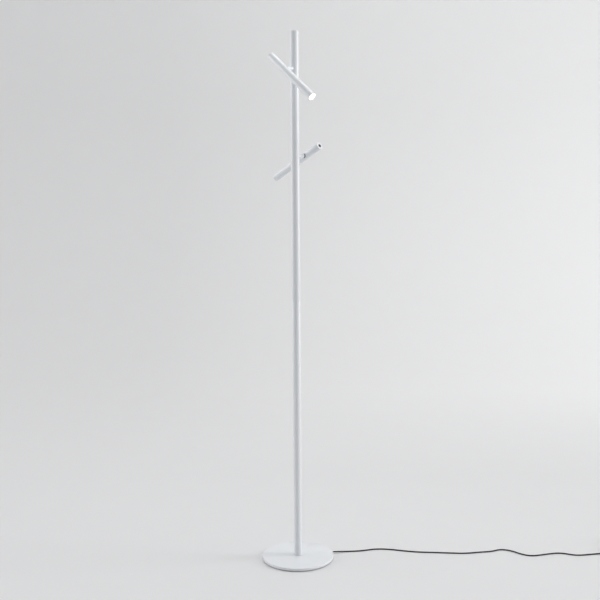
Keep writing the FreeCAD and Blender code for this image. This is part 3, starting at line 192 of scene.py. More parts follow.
# ---------------------------------------------------------------- shapes
def eased(corners):
    """Outline through the corners, given as radius, height and rounding. A rounded corner becomes an arc
    that touches both its sides: the point at rounding / tan(half the inner angle) on each side, and
    between them the points at equal angles round the arc's centre."""
    points = []
    for index, (across, up, rounding) in enumerate(corners):
        here = np.array([across, up], float)
        if rounding <= 0:
            points.append(here[None])
            continue
        before = np.array(corners[index - 1][:2], float) - here
        after = np.array(corners[(index + 1) % len(corners)][:2], float) - here
        before /= np.linalg.norm(before)
        after /= np.linalg.norm(after)
        half = math.acos(float(np.clip(before @ after, -1, 1))) / 2
        middle = here + (before + after) / np.linalg.norm(before + after) * rounding / math.sin(half)
        first = here + before * rounding / math.tan(half) - middle
        last = here + after * rounding / math.tan(half) - middle
        share = np.linspace(0, 1, ARC_STEPS + 1)[:, None]
        turn = math.acos(float(np.clip(first @ last / rounding ** 2, -1, 1)))
        arc = (np.sin((1 - share) * turn) * first + np.sin(share * turn) * last) / math.sin(turn)
        points.append(middle + arc)
    return np.concatenate(points)


def axes(across, forward, origin):
    """Matrix of a frame that starts at origin, with its X across and its Z forward."""
    x = Vector(across).normalized()
    z = Vector(forward).normalized()
    turn = Matrix((x, z.cross(x), z)).transposed().to_4x4()
    return Matrix.Translation(Vector(origin)) @ turn


def surface(name, points, around=True, along=False, place=UPRIGHT, angle=SMOOTH_ANGLE):
    """Mesh of a grid of points, rows first. Each cell becomes a face. around closes the columns and along
    closes the rows. Rows that are one point melt into a pole. Edges sharper than angle stay sharp."""
    rows, columns = points.shape[:2]
    grid = np.arange(rows * columns).reshape(rows, columns)
    if around:
        grid = np.concatenate([grid, grid[:, :1]], axis=1)
    if along:
        grid = np.concatenate([grid, grid[:1]], axis=0)
    faces = np.stack([grid[:-1, :-1], grid[:-1, 1:], grid[1:, 1:], grid[1:, :-1]], axis=-1).reshape(-1, 4)
    flat = points.reshape(-1, 3) @ np.array(place.to_3x3()).T + np.array(place.translation)
    mesh = bpy.data.meshes.new(name)
    mesh.from_pydata(flat.tolist(), [], faces.tolist())
    obj = bpy.data.objects.new(name, mesh)
    bpy.context.scene.collection.objects.link(obj)
    close_up(mesh, angle)
    return obj


def close_up(mesh, angle):
    """Melts points that coincide, turns faces outwards and shades smoothly up to the angle."""
    made = bmesh.new()
    made.from_mesh(mesh)
    bmesh.ops.remove_doubles(made, verts=made.verts, dist=MELT)
    bmesh.ops.dissolve_degenerate(made, edges=made.edges, dist=MELT / 10)
    bmesh.ops.recalc_face_normals(made, faces=made.faces)
    made.to_mesh(mesh)
    made.free()
    mesh.polygons.foreach_set("use_smooth", np.ones(len(mesh.polygons), bool))
    mesh.set_sharp_from_angle(angle=math.radians(angle))
    mesh.update()


def circle(count):
    """Unit circle as two rows, cosines and sines of equal steps of angle."""
    angle = np.arange(count) * 2 * math.pi / count
    return np.cos(angle), np.sin(angle)


def turned(name, outline, place=UPRIGHT, sides=SIDES, closed=True):
    """Surface of revolution: each outline point (radius, height) goes to (radius cos a, radius sin a,
    height) for all angles a. closed joins the last point to the first, as in the wall of a tube."""
    cosine, sine = circle(sides)
    radius = outline[:, :1]
    points = np.stack([radius * cosine, radius * sine, np.repeat(outline[:, 1:], sides, axis=1)], axis=-1)
    return surface(name, points, along=closed, place=place)


def between_tubes(name, radius, bore, first, last, place, bevel_first=0.0, bevel_last=0.0):
    """Wall of a round piece whose ends are flat or are saddles on a tube. The outer wall is a circle of
    the radius, the inner of the bore, and first and last give the height of an end at (x, y). A bevel
    takes that much off the rim of its end."""
    cosine, sine = circle(SIDES)
    rows = []
    for ring_radius, end, shift in ((bore, first, 0), (radius - bevel_first, first, 0),
                                    (radius, first, bevel_first), (radius, last, -bevel_last),
                                    (radius - bevel_last, last, 0), (bore, last, 0)):
        x = ring_radius * cosine
        y = ring_radius * sine
        rows.append(np.stack([x, y, end(x, y) + shift], axis=-1))
    return surface(name, np.stack(rows), along=True, place=place, angle=SADDLE_ANGLE)


# ---------------------------------------------------------------- materials
# Values between which the noise mostly lies, and its scales in cells per metre.
NOISE_RANGE = (0.3, 0.7)
MARKS_RANGE = (0.35, 0.65)
BLOTCH_SCALE = 9.0
MARKS_SCALE = 70.0
DUST_COLOR = (0.46, 0.45, 0.43)
COAT_ROUGHNESS = 0.22
# The lines of machined metal run across Z.
LINE_STRETCH = (1.0, 1.0, 60.0)
LINE_SCALE = 90.0
TRACK_SCALE = 420.0
CORD_WAVE_SCALE = 160.0
# Name, linear colour and roughness of the metals.
STEEL = ("bright steel", (0.58, 0.57, 0.56), 0.3)
ALUMINIUM = ("bare aluminium", (0.72, 0.73, 0.75), 0.35)
NICKEL = ("nickel plated pins", (0.66, 0.64, 0.6), 0.2)
BRASS = ("bushing brass", (0.72, 0.5, 0.2), 0.3)


def group_tree(name, inputs, outputs):
    """New shader node group with its sockets, and its two end nodes."""
    tree = bpy.data.node_groups.new(name, "ShaderNodeTree")
    for label, kind, value in inputs:
        socket = tree.interface.new_socket(name=label, in_out="INPUT", socket_type=kind)
        socket.default_value = value
    for label, kind in outputs:
        tree.interface.new_socket(name=label, in_out="OUTPUT", socket_type=kind)
    return tree, tree.nodes.new("NodeGroupInput"), tree.nodes.new("NodeGroupOutput")


def object_place(tree):
    """Position on the piece, in metres."""
    return tree.nodes.new("ShaderNodeTexCoord").outputs["Object"]


def mapped(tree, value, low, high, to_low, to_high):
    """Map Range of a value, clamped."""
    node = tree.nodes.new("ShaderNodeMapRange")
    tree.links.new(value, node.inputs["Value"])
    for label, number in (("From Min", low), ("From Max", high), ("To Min", to_low), ("To Max", to_high)):
        node.inputs[label].default_value = number
    return node.outputs["Result"]


def mixed(tree, share, first, second):
    """Colour between two colours, which are sockets or values."""
    node = tree.nodes.new("ShaderNodeMix")
    node.data_type = "RGBA"
    tree.links.new(share, node.inputs[0])
    for index, value in ((6, first), (7, second)):
        if isinstance(value, bpy.types.NodeSocket):
            tree.links.new(value, node.inputs[index])
        else:
            node.inputs[index].default_value = (*value[:3], 1.0)
    return node.outputs[2]


def maths(tree, operation, first, second=0.5):
    """Math node on sockets or numbers."""
    node = tree.nodes.new("ShaderNodeMath")
    node.operation = operation
    for index, value in enumerate((first, second)):
        if isinstance(value, bpy.types.NodeSocket):
            tree.links.new(value, node.inputs[index])
        else:
            node.inputs[index].default_value = value
    return node.outputs[0]


def noise(tree, position, scale, detail, roughness=0.5):
    """Noise at a position, whose scale is a number or a socket."""
    node = tree.nodes.new("ShaderNodeTexNoise")
    tree.links.new(position, node.inputs["Vector"])
    if isinstance(scale, bpy.types.NodeSocket):
        tree.links.new(scale, node.inputs["Scale"])
    else:
        node.inputs["Scale"].default_value = scale
    node.inputs["Detail"].default_value = detail
    node.inputs["Roughness"].default_value = roughness
    return node.outputs["Fac"]


def seen(tree):
    """1 for rays from the camera and for those that mirror or pass through something, else 0."""
    paths = tree.nodes.new("ShaderNodeLightPath").outputs
    direct = maths(tree, "MAXIMUM", paths["Is Camera Ray"], paths["Is Glossy Ray"])
    return maths(tree, "MAXIMUM", direct, paths["Is Transmission Ray"])


@cache
def surface_wear():
    """Group for every finish: broad blotches and fine grain in the colour, handling marks in the gloss,
    dust where the surface faces up, and the height of the grain."""
    tree, inside, out = group_tree(
        "Surface wear",
        [("Color", "NodeSocketColor", (1, 1, 1, 1)), ("Variation", "NodeSocketFloat", 0.04),
         ("Roughness", "NodeSocketFloat", 0.4), ("Grain Size", "NodeSocketFloat", 900.0),
         ("Dust", "NodeSocketFloat", 0.1), ("Marks", "NodeSocketFloat", 1.0)],
        [("Color", "NodeSocketColor"), ("Roughness", "NodeSocketFloat"), ("Height", "NodeSocketFloat")])
    place = object_place(tree)
    broad = noise(tree, place, BLOTCH_SCALE, 4.0, 0.6)
    marks = noise(tree, place, MARKS_SCALE, 6.0, 0.7)
    grain = noise(tree, place, inside.outputs["Grain Size"], 2.0)
    blotch = maths(tree, "ADD", mapped(tree, broad, *NOISE_RANGE, -0.5, 0.5),
                   mapped(tree, marks, *MARKS_RANGE, -0.3, 0.3))
    shade = maths(tree, "ADD", maths(tree, "MULTIPLY", blotch, inside.outputs["Variation"]), 1.0)
    tinted = tree.nodes.new("ShaderNodeVectorMath")
    tinted.operation = "SCALE"
    tree.links.new(inside.outputs["Color"], tinted.inputs[0])
    tree.links.new(shade, tinted.inputs["Scale"])
    facing = tree.nodes.new("ShaderNodeSeparateXYZ")
    tree.links.new(tree.nodes.new("ShaderNodeNewGeometry").outputs["Normal"], facing.inputs[0])
    settled = maths(tree, "MULTIPLY", mapped(tree, facing.outputs["Z"], 0.55, 1.0, 0.0, 1.0),
                    mapped(tree, marks, 0.45, 0.62, 0.15, 1.0))
    dusty = maths(tree, "MULTIPLY", settled, inside.outputs["Dust"])
    handled = maths(tree, "MULTIPLY", mapped(tree, marks, *MARKS_RANGE, -0.05, 0.07),
                    inside.outputs["Marks"])
    gloss = maths(tree, "ADD", inside.outputs["Roughness"], handled)
    gloss = maths(tree, "ADD", gloss, maths(tree, "MULTIPLY", dusty, 0.3))
    tree.links.new(mixed(tree, dusty, tinted.outputs[0], DUST_COLOR), out.inputs["Color"])
    tree.links.new(gloss, out.inputs["Roughness"])
    tree.links.new(grain, out.inputs["Height"])
    return tree


def new_material(name, tint, roughness, variation, grain, dust, marks=1.0):
    """Material whose colour and gloss come from the wear group, with its tree, its shader and the group's
    outputs. A finish that links one of the two again replaces the first link."""
    material = bpy.data.materials.new(name)
    material.use_nodes = True
    tree = material.node_tree
    shader = tree.nodes["Principled BSDF"]
    wear = tree.nodes.new("ShaderNodeGroup")
    wear.node_tree = surface_wear()
    for label, value in (("Color", (*tint, 1.0)), ("Roughness", roughness), ("Variation", variation),
                         ("Grain Size", grain), ("Dust", dust), ("Marks", marks)):
        wear.inputs[label].default_value = value
    tree.links.new(wear.outputs["Color"], shader.inputs["Base Color"])
    tree.links.new(wear.outputs["Roughness"], shader.inputs["Roughness"])
    return material, tree, shader, wear.outputs


def bump(tree, shader, height, strength, distance):
    """Raises the surface of a shader by a height, at most by the distance in metres."""
    node = tree.nodes.new("ShaderNodeBump")
    node.inputs["Strength"].default_value = strength
    node.inputs["Distance"].default_value = distance
    tree.links.new(height, node.inputs["Height"])
    tree.links.new(node.outputs["Normal"], shader.inputs["Normal"])


@cache
def hard_finish(name, tint, roughness, variation=0.04, grain=900.0, dust=0.1, strength=0.25,
                distance=0.00006, coat=0.0, marks=1.0):
    """Painted or moulded surface with a fine grain."""
    material, tree, shader, wear = new_material(name, tint, roughness, variation, grain, dust, marks)
    shader.inputs["Coat Weight"].default_value = coat
    shader.inputs["Coat Roughness"].default_value = COAT_ROUGHNESS
    bump(tree, shader, wear["Height"], strength, distance)
    return material


@cache
def brushed_finish(name, tint, roughness):
    """Machined metal: fine lines, as noise that is stretched."""
    material, tree, shader, wear = new_material(name, tint, roughness, 0.08, 700.0, 0.05)
    stretch = tree.nodes.new("ShaderNodeMapping")
    stretch.inputs["Scale"].default_value = LINE_STRETCH
    tree.links.new(object_place(tree), stretch.inputs["Vector"])
    lines = noise(tree, stretch.outputs["Vector"], LINE_SCALE, 4.0, 0.6)
    darker = [value * 0.6 for value in tint]
    tree.links.new(mixed(tree, mapped(tree, lines, *NOISE_RANGE, 0.0, 0.25), wear["Color"], darker),
                   shader.inputs["Base Color"])
    tree.links.new(maths(tree, "ADD", wear["Roughness"], mapped(tree, lines, *NOISE_RANGE, -0.06, 0.1)),
                   shader.inputs["Roughness"])
    shader.inputs["Metallic"].default_value = 1.0
    bump(tree, shader, lines, 0.3, 0.00004)
    return material


def paint():
    """Satin white powder coat under a thin clear coat."""
    look = finish_look()
    return hard_finish("satin white powder coat", tuple(look.paint), look.paint_roughness, variation=0.02,
                       grain=1500.0, dust=0.04, strength=0.10, distance=0.00003, coat=0.5, marks=0.3)


def black_plastic():
    """Black plastic with a finely etched grain."""
    return hard_finish("black moulded plastic", tuple(finish_look().black), 0.45, variation=0.25,
                       grain=2200.0, dust=0.03, strength=0.3, distance=0.00004)


def grommet_plastic():
    """Pale soft plastic of the strain relief in the base."""
    return hard_finish("pale grommet plastic", (0.62, 0.62, 0.6), 0.5, variation=0.08, grain=1500.0)


def rubber_finish():
    """Dark rubber with a coarse grain."""
    return hard_finish("dark pad rubber", (0.035, 0.035, 0.036), 0.85, variation=0.3, grain=500.0, dust=0.25,
                       strength=0.6, distance=0.0002)


@cache
def board_finish():
    """Green lacquer over tracks, which run where the cells of a pattern meet."""
    material, tree, shader, wear = new_material("circuit board lacquer", (0.02, 0.13, 0.06), 0.38, 0.15,
                                                1500.0, 0.08)
    cells = tree.nodes.new("ShaderNodeTexVoronoi")
    cells.distance = "MANHATTAN"
    cells.inputs["Scale"].default_value = TRACK_SCALE
    tree.links.new(object_place(tree), cells.inputs["Vector"])
    tracks = mapped(tree, cells.outputs["Distance"], 0.42, 0.5, 0.0, 1.0)
    tree.links.new(mixed(tree, tracks, wear["Color"], (0.06, 0.28, 0.12)), shader.inputs["Base Color"])
    bump(tree, shader, tracks, 0.3, 0.00005)
    return material


@cache
def cord_finish():
    """Black vinyl: the shallow waves of a drawn cord, with a little grain and dust."""
    material, tree, shader, wear = new_material("black vinyl cord", tuple(finish_look().black), 0.42, 0.3,
                                                1200.0, 0.03)
    waves = noise(tree, object_place(tree), CORD_WAVE_SCALE, 2.0, 0.4)
    tree.links.new(maths(tree, "ADD", wear["Roughness"], mapped(tree, waves, *NOISE_RANGE, -0.06, 0.08)),
                   shader.inputs["Roughness"])
    height = maths(tree, "ADD", waves, maths(tree, "MULTIPLY", wear["Height"], 0.2))
    bump(tree, shader, height, 0.35, 0.00012)
    return material


@cache
def opal_finish():
    """Lit opal plastic: brightest in the middle and a little dimmer at the rim, by the piece's own UV map,
    whose first value is the share of the radius."""
    look = finish_look()
    material, tree, shader, wear = new_material("lit opal disc", (0.85, 0.85, 0.83), 0.35, 0.03, 1500.0,
                                                0.0)
    split = tree.nodes.new("ShaderNodeSeparateXYZ")
    tree.links.new(tree.nodes.new("ShaderNodeUVMap").outputs["UV"], split.inputs[0])
    rim = mapped(tree, split.outputs["X"], 0.72, 1.0, 0.0, 1.0)
    dimmer = [value * 0.72 for value in look.glow]
    tree.links.new(mixed(tree, rim, tuple(look.glow), dimmer), shader.inputs["Emission Color"])
    shader.inputs["Emission Strength"].default_value = look.glow_strength
    bump(tree, shader, wear["Height"], 0.1, 0.00003)
    return material


def floor_finish(look):
    """Matt paper of the studio. Its back carries painted light: it glows a little where it is seen, more
    towards the right and less high up, in place of the light that falls on it from the right."""
    material, tree, shader = new_material("studio floor", tuple(look.floor_color), 0.6, 0.01, 300.0, 0.0)[:3]
    shader.inputs["Specular IOR Level"].default_value = 0.2
    place = tree.nodes.new("ShaderNodeSeparateXYZ")
    tree.links.new(object_place(tree), place.inputs[0])
    # Painted light: mask of the backdrop's back, where the painted light goes, weaker higher up.
    behind = maths(tree, "MULTIPLY", mapped(tree, place.outputs["Y"], 0.8, 2.1, 0.0, 1.0),
                   mapped(tree, place.outputs["Z"], 0.6, 2.2, 1.0, 0.75))
    # Painted light: emission that grows from left to right, standing in for light falling from the right.
    glow = mapped(tree, place.outputs["X"], -0.8, 1.8, look.painted_light_left, look.painted_light_right)
    glow = maths(tree, "MULTIPLY", glow, behind)
    tree.links.new(maths(tree, "MULTIPLY", seen(tree), glow), shader.inputs["Emission Strength"])
    shader.inputs["Emission Color"].default_value = (1, 1, 1, 1)
    return material


def dressed(obj, material, body=STAND):
    """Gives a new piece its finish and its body."""
    obj.data.materials.append(material)
    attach(obj, body)


def carried_over(material, *names):
    """Gives CAD nodes that stay their finish, welds their faces and shades them smoothly."""
    for name in names:
        obj = frame["nodes"][name]
        obj.data.materials.clear()
        obj.data.materials.append(material)
        obj.data.polygons.foreach_set("use_smooth", np.ones(len(obj.data.polygons), bool))
        weld = obj.modifiers.new("weld", "WELD")
        weld.merge_threshold = MELT
        split = obj.modifiers.new("split", "EDGE_SPLIT")
        split.split_angle = math.radians(SMOOTH_ANGLE)


# ---------------------------------------------------------------- frames of the spots
def arm_axis(which):
    """Direction of an arm, and the point of the pole axis where it starts."""
    joint = JOINTS[which + "_spot_tilt"]
    outward = Vector(joint["axis"])
    return outward, Vector(joint["pos_m"]) - outward * sizes().spot_offset


def arm_place(which):
    """Frame of an arm: origin on the pole axis, X up, Z out of the pole."""
    outward, start = arm_axis(which)
    return axes((0, 0, 1), outward, start)


def pivot_place(which):
    """Frame of a pivot: origin on the pole axis, X towards the lit end, Z out of the pole."""
    outward, start = arm_axis(which)
    return axes(JOINTS[which + "_button_press"]["axis"], outward, start)


def head_place(which):
    """Frame of a spot: origin where the arm meets its axis, X out of the pole, Z towards the lit end."""
    joint = JOINTS[which + "_spot_tilt"]
    return axes(joint["axis"], JOINTS[which + "_button_press"]["axis"], joint["pos_m"])


def arm_flat(x, y):
    """Flat end where stub and collar meet: the same height for all x and y."""
    return np.full_like(x, sizes().arm_end)


# ---------------------------------------------------------------- operators
class LAMP_OT_camera(bpy.types.Operator):
    """Places the camera as in the photograph"""

    bl_idname = "lamp.camera"
    bl_label = "Place Camera"

    def execute(self, context):
        look = context.scene.lamp_stage
        pitch, roll = look.camera_pitch, look.camera_roll
        view = Vector((0, math.cos(pitch), -math.sin(pitch)))
        right = Vector((1, 0, 0))
        up = right.cross(view)
        turned_right = right * math.cos(roll) + up * math.sin(roll)
        turned_up = up * math.cos(roll) - right * math.sin(roll)
        data = bpy.data.cameras.new("camera")
        data.sensor_width = 36
        data.lens = look.focal_pixels / look.image_size * data.sensor_width
        data.clip_end = 50
        camera = bpy.data.objects.new("camera", data)
        context.scene.collection.objects.link(camera)
        turn = Matrix((turned_right, turned_up, -view)).transposed().to_4x4()
        camera.matrix_world = Matrix.Translation(Vector(look.camera_place)) @ turn
        context.scene.camera = camera
        return {"FINISHED"}


# Route of the cord in millimetres: out of the base, over the floor, round the coil and to the driver.
ROUTE_START = [(110.60, 29.63, 6.0), (127.98, 34.29, 4.4)]
FLOOR_ROUTE = [
    (152, 41.5), (197, 43.5), (247, 61), (293, 56), (339, 41.5), (386, 31), (433, 28), (481, 22.5),
    (528, 19), (577, 29), (612, 33), (643, 51), (675, 38), (700, 9), (730, -6), (776, 8), (824, 20),
    (868, -4), (912, 4),
]
FLOOR_LEVEL = 2.1
COIL = {"middle": (1002, 40, 3.0), "inner": 16.0, "pitch": 4.55, "rise": 4.55, "halves": 12, "end": 4.5,
        "approach": 42.5, "points": 8}
TAIL_ROUTE = [(1027.5, 10.35, 7.55), (1053, 16, 2.6), (1066, 36, 4.6), (1066, 57.8, 4.6)]


def coil_points():
    """Points of the coil: each half turn starts where the last one ended and is the half circle
    start + chord / 2 (1 - cos t) + bulge sin t for t from 0 to a half turn. The radius shrinks by half
    the pitch per half turn, and grows again after the half turn that climbs to the upper layer."""
    climb = COIL["halves"] // 2
    radii = [COIL["inner"] + abs(index - climb) * COIL["pitch"] / 2 for index in range(COIL["halves"])]
    near, along = np.array([0.0, -1.0, 0.0]), np.array([1.0, 0.0, 0.0])
    start = np.array(COIL["middle"], float) + near * radii[0]
    t = (np.arange(COIL["points"]) / COIL["points"] * math.pi)[:, None]
    rows = [start[None] - along * COIL["end"]]
    side = 1
    for index, radius in enumerate(radii):
        rise = np.array([0, 0, COIL["rise"] if index == climb else 0.0])
        chord = near * (-2 * side * radius) + rise
        bulge = along * side * np.linalg.norm(chord) / 2
        rows.append(start + chord / 2 * (1 - np.cos(t)) + bulge * np.sin(t))
        start = start + chord
        side = -side
    rows += [start[None], start[None] + along * COIL["end"]]
    return np.concatenate(rows)


class LAMP_OT_cord(bpy.types.Operator):
    """Lays the cord from the base over the floor, through the coil and to the driver"""

    bl_idname = "lamp.cord"
    bl_label = "Lay Cord"

    def execute(self, context):
        coil = coil_points()
        approach = coil[0] - np.array([COIL["approach"], 0, 0])
        route = ROUTE_START + [(x, y, FLOOR_LEVEL) for x, y in FLOOR_ROUTE] + [tuple(approach)]
        points = np.concatenate([np.array(route, float), coil, np.array(TAIL_ROUTE, float)]) / 1000
        data = bpy.data.curves.new("cord_line", "CURVE")
        data.dimensions = "3D"
        data.bevel_depth = sizes().cord_diameter / 2
        data.bevel_resolution = 5
        data.use_fill_caps = True
        data.resolution_u = 10
        spline = data.splines.new("NURBS")
        spline.points.add(len(points) - 1)
        spline.points.foreach_set("co", np.concatenate([points, np.ones((len(points), 1))], axis=1).ravel())
        spline.order_u = 3
        spline.use_endpoint_u = True
        spline.resolution_u = 10
        cord = bpy.data.objects.new("cord_line", data)
        context.scene.collection.objects.link(cord)
        dressed(cord, cord_finish())
        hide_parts("cord_free", "cord_coil", "cord_tail")
        return {"FINISHED"}


class LAMP_OT_driver(bpy.types.Operator):
    """Finishes the plug-in driver, its strain relief and the strap of the coil"""

    bl_idname = "lamp.driver"
    bl_label = "Finish Driver"

    def execute(self, context):
        carried_over(black_plastic(), "driver_case", "driver_lid", "driver_relief", "coil_tie")
        carried_over(brushed_finish(*NICKEL), "plug_pins")
        carried_over(board_finish(), "driver_board")
        return {"FINISHED"}


class LAMP_OT_base(bpy.types.Operator):
    """Finishes the base plate, its pad, grommet, foot and screws"""

    bl_idname = "lamp.base"
    bl_label = "Finish Base"

    def execute(self, context):
        carried_over(paint(), "base_plate")
        carried_over(rubber_finish(), "base_pad")
        carried_over(grommet_plastic(), "cord_grommet")
        carried_over(cord_finish(), "cord_inner")
        carried_over(brushed_finish(*ALUMINIUM), "pole_foot", "pole_joiner")
        carried_over(brushed_finish(*STEEL), "foot_screws", "clamp_screws", "cord_clamp")
        return {"FINISHED"}


class LAMP_OT_pole(bpy.types.Operator):
    """Makes the two tubes of the pole and its cap, and finishes what is inside"""

    bl_idname = "lamp.pole"
    bl_label = "Make Pole"

    def execute(self, context):
        size = sizes()
        outer, inner = size.pole_radius, size.pole_radius - size.pole_wall
        top = size.lamp_height - size.cap_thickness
        end, seam = ROUND["pole end"], ROUND["seam"]
        for name, node, low, high, low_rim, high_rim in (
                ("pole_tube_low", "lower_pole", size.pole_start, size.pole_seam, end, seam),
                ("pole_tube_high", "upper_pole", size.pole_seam, top, seam, end)):
            tube = turned(name, eased([
                (inner, low, 0), (outer, low, low_rim), (outer, high, high_rim), (inner, high, 0)]))
            dressed(tube, paint())
            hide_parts(node)
        spigot = inner - size.fit_gap
        hollow = spigot - size.cap_spigot_wall
        tip = top - size.cap_spigot
        cap = turned("pole_top", eased([
            (0, size.lamp_height, 0), (0, top, 0), (hollow, top, 0), (hollow, tip, 0), (spigot, tip, 0),
            (spigot, top, 0), (outer, top, 0), (outer, size.lamp_height, ROUND["pole cap"])]))
        dressed(cap, paint())
        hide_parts("pole_cap")
        carried_over(hard_finish("terminal block plastic", (0.7, 0.7, 0.68), 0.5), "junction_block")
        carried_over(cord_finish(), "upper_feed", "lower_feed")
        return {"FINISHED"}


class LAMP_OT_arms(bpy.types.Operator):
    """Makes the two stubs and finishes the parts of their pivots"""

    bl_idname = "lamp.arms"
    bl_label = "Make Arms"

    def execute(self, context):
        size = sizes()
        radius = size.pole_radius + size.fit_gap

        def pole_saddle(x, y):
            """Height of the pole's wall over its axis: sqrt(radius^2 - y^2)."""
            return np.sqrt(radius ** 2 - y ** 2)

        for which in SPOTS:
            stub = between_tubes(which + "_stub", size.arm_radius, size.arm_bore, pole_saddle, arm_flat,
                                 arm_place(which), bevel_last=ROUND["joint"])
            dressed(stub, paint())
            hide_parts(which + "_arm")
            carried_over(brushed_finish(*STEEL), which + "_arm_nut", which + "_pivot_bolt",
                         which + "_spring_washer")
        return {"FINISHED"}


class LAMP_OT_spots(bpy.types.Operator):
    """Makes the tubes, caps, buttons, collars and lit discs of the two spots"""

    bl_idname = "lamp.spots"
    bl_label = "Make Spots"

    def execute(self, context):
        for which in SPOTS:
            self.tube(which)
            self.rear(which)
            self.button(which)
            self.collar(which)
            self.disc(which)
            self.inside(which)
        return {"FINISHED"}

    def tube(self, which):
        """Wall turned about the spot's axis, with a wider mouth for the disc at the lit end."""
        size = sizes()
        outer = size.spot_radius
        inner, mouth = outer - size.spot_wall, outer - size.mouth_wall
        low, high = size.rear_cap - size.spot_rear, size.spot_front
        step = high - size.mouth_depth
        shell = turned(which + "_barrel", eased([
            (inner, low, 0), (outer, low, ROUND["joint"]), (outer, high, ROUND["lit rim"]),
            (mouth, high, ROUND["mouth"]), (mouth, step, 0), (inner, step, 0)]), head_place(which))
        dressed(shell, paint(), which + "_spot")
        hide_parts(which + "_head_tube")

    def rear(self, which):
        """Cap turned about the spot's axis: a face with a hole for the button, and a spigot with a room."""
        size = sizes()
        end, joint = -size.spot_rear, size.rear_cap - size.spot_rear
        hole = size.button_radius + size.button_gap
        spigot = size.spot_radius - size.spot_wall - size.fit_gap
        tip = joint + size.rear_spigot
        cap = turned(which + "_tail_cap", eased([
            (hole, end, ROUND["button hole"]), (size.spot_radius, end, ROUND["joint"]),
            (size.spot_radius, joint, ROUND["joint"]), (spigot, joint, 0), (spigot, tip, 0),
            (size.button_room, tip, 0), (size.button_room, joint, 0), (hole, joint, 0)]), head_place(which))
        dressed(cap, paint(), which + "_spot")
        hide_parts(which + "_rear_cap")

    def button(self, which):
        """Button turned about the spot's axis: a dished face, a shoulder in the cap's room, and a stem."""
        size = sizes()
        joint = size.rear_cap - size.spot_rear
        face = -size.spot_rear - size.button_reach
        shoulder = joint + size.fit_gap
        step = shoulder + size.shoulder_height
        tip = joint + size.stem_end
        bend, depth = DISH_BEND
        knob = turned(which + "_push_knob", eased([
            (0, face + size.button_dish, 0), (size.button_radius * bend, face + size.button_dish * depth, 0),
            (size.button_radius, face, ROUND["button"]), (size.button_radius, shoulder, 0),
            (size.shoulder_radius, shoulder, 0), (size.shoulder_radius, step, 0),
            (size.stem_radius, step, 0), (size.stem_radius, tip, 0), (0, tip, 0)]), head_place(which),
            closed=False)
        dressed(knob, black_plastic(), which + "_push")
        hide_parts(which + "_button")

    def collar(self, which):
        """Ring between the flat end of the stub and the spot's tube."""
        size = sizes()
        radius = size.spot_radius + size.fit_gap

        def spot_saddle(x, y):
            """Near side of the spot's wall: offset - sqrt(radius^2 - y^2)."""
            return size.spot_offset - np.sqrt(radius ** 2 - y ** 2)

        ring = between_tubes(which + "_black_collar", size.arm_radius, size.collar_bore, arm_flat,
                             spot_saddle, pivot_place(which), bevel_first=ROUND["collar"])
        dressed(ring, black_plastic(), which + "_spot")
        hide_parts(which + "_collar")

    def disc(self, which):
        """Opal disc turned about the spot's axis: flat rings, a small bevel, the edge and the back. Its UV
        map holds each point's share of the radius, and its place along the axis."""
        size = sizes()
        radius = size.spot_radius - size.mouth_wall - size.fit_gap
        face, back = size.spot_front - size.disc_recess, size.spot_front - size.mouth_depth
        rings = np.linspace(0, 1, DISC_RINGS)[:, None] * DISC_FLAT * radius
        front = np.concatenate([rings, np.full((DISC_RINGS, 1), face)], axis=1)
        outline = np.concatenate([front, [[radius, face - ROUND["disc"]], [radius, back], [0, back]]])
        disc = turned(which + "_opal", outline, head_place(which), closed=False, sides=DISC_SIDES)
        layer = disc.data.uv_layers.new(name="UVMap")
        spots = np.empty(len(disc.data.vertices) * 3)
        disc.data.vertices.foreach_get("co", spots)
        corners = np.empty(len(disc.data.loops), int)
        disc.data.loops.foreach_get("vertex_index", corners)
        place = np.array(head_place(which).inverted())
        local = spots.reshape(-1, 3) @ place[:3, :3].T + place[:3, 3]
        away = np.hypot(local[:, 0], local[:, 1]) / radius
        layer.data.foreach_set("uv", np.stack([away, local[:, 2]], axis=-1)[corners].ravel())
        dressed(disc, opal_finish(), which + "_spot")
        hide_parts(which + "_diffuser")

    def inside(self, which):
        """Finishes of what is inside the spot."""
        carried_over(brushed_finish(*BRASS), which + "_inner_bush")
        carried_over(black_plastic(), which + "_switch")
        carried_over(board_finish(), which + "_dimmer_board", which + "_led_board")
        carried_over(brushed_finish(*ALUMINIUM), which + "_heat_sink")
        carried_over(hard_finish("reflector plastic", (0.8, 0.81, 0.82), 0.18), which + "_reflector")
        carried_over(cord_finish(), which + "_head_wires")


# Studio, in metres. Each light has a name, the property with its power, its place and target, and its size.
LIGHTS = (
    ("key_light", "key_power", (8.3, 0.0, 2.8), (0, 0, 0.8), (2.5, 6.2)),
    ("fill_light", "fill_power", (-7.8, 1.8, 2.3), (0, 0, 0.8), (4.8, 6.0)),
    ("top_light", "top_power", (0.4, 0.3, 4.4), (0, 0, 0.0), (2.6, 2.6)),
)
BACKDROP = {"near": -4.0, "turn_start": 1.8, "turn_radius": 1.6, "top": 4.5, "half_width": 6.0,
            "columns": 9, "turn_points": 33, "smooth": 60}
ROOM_COLOR = (0.97, 0.98, 1.0, 1.0)


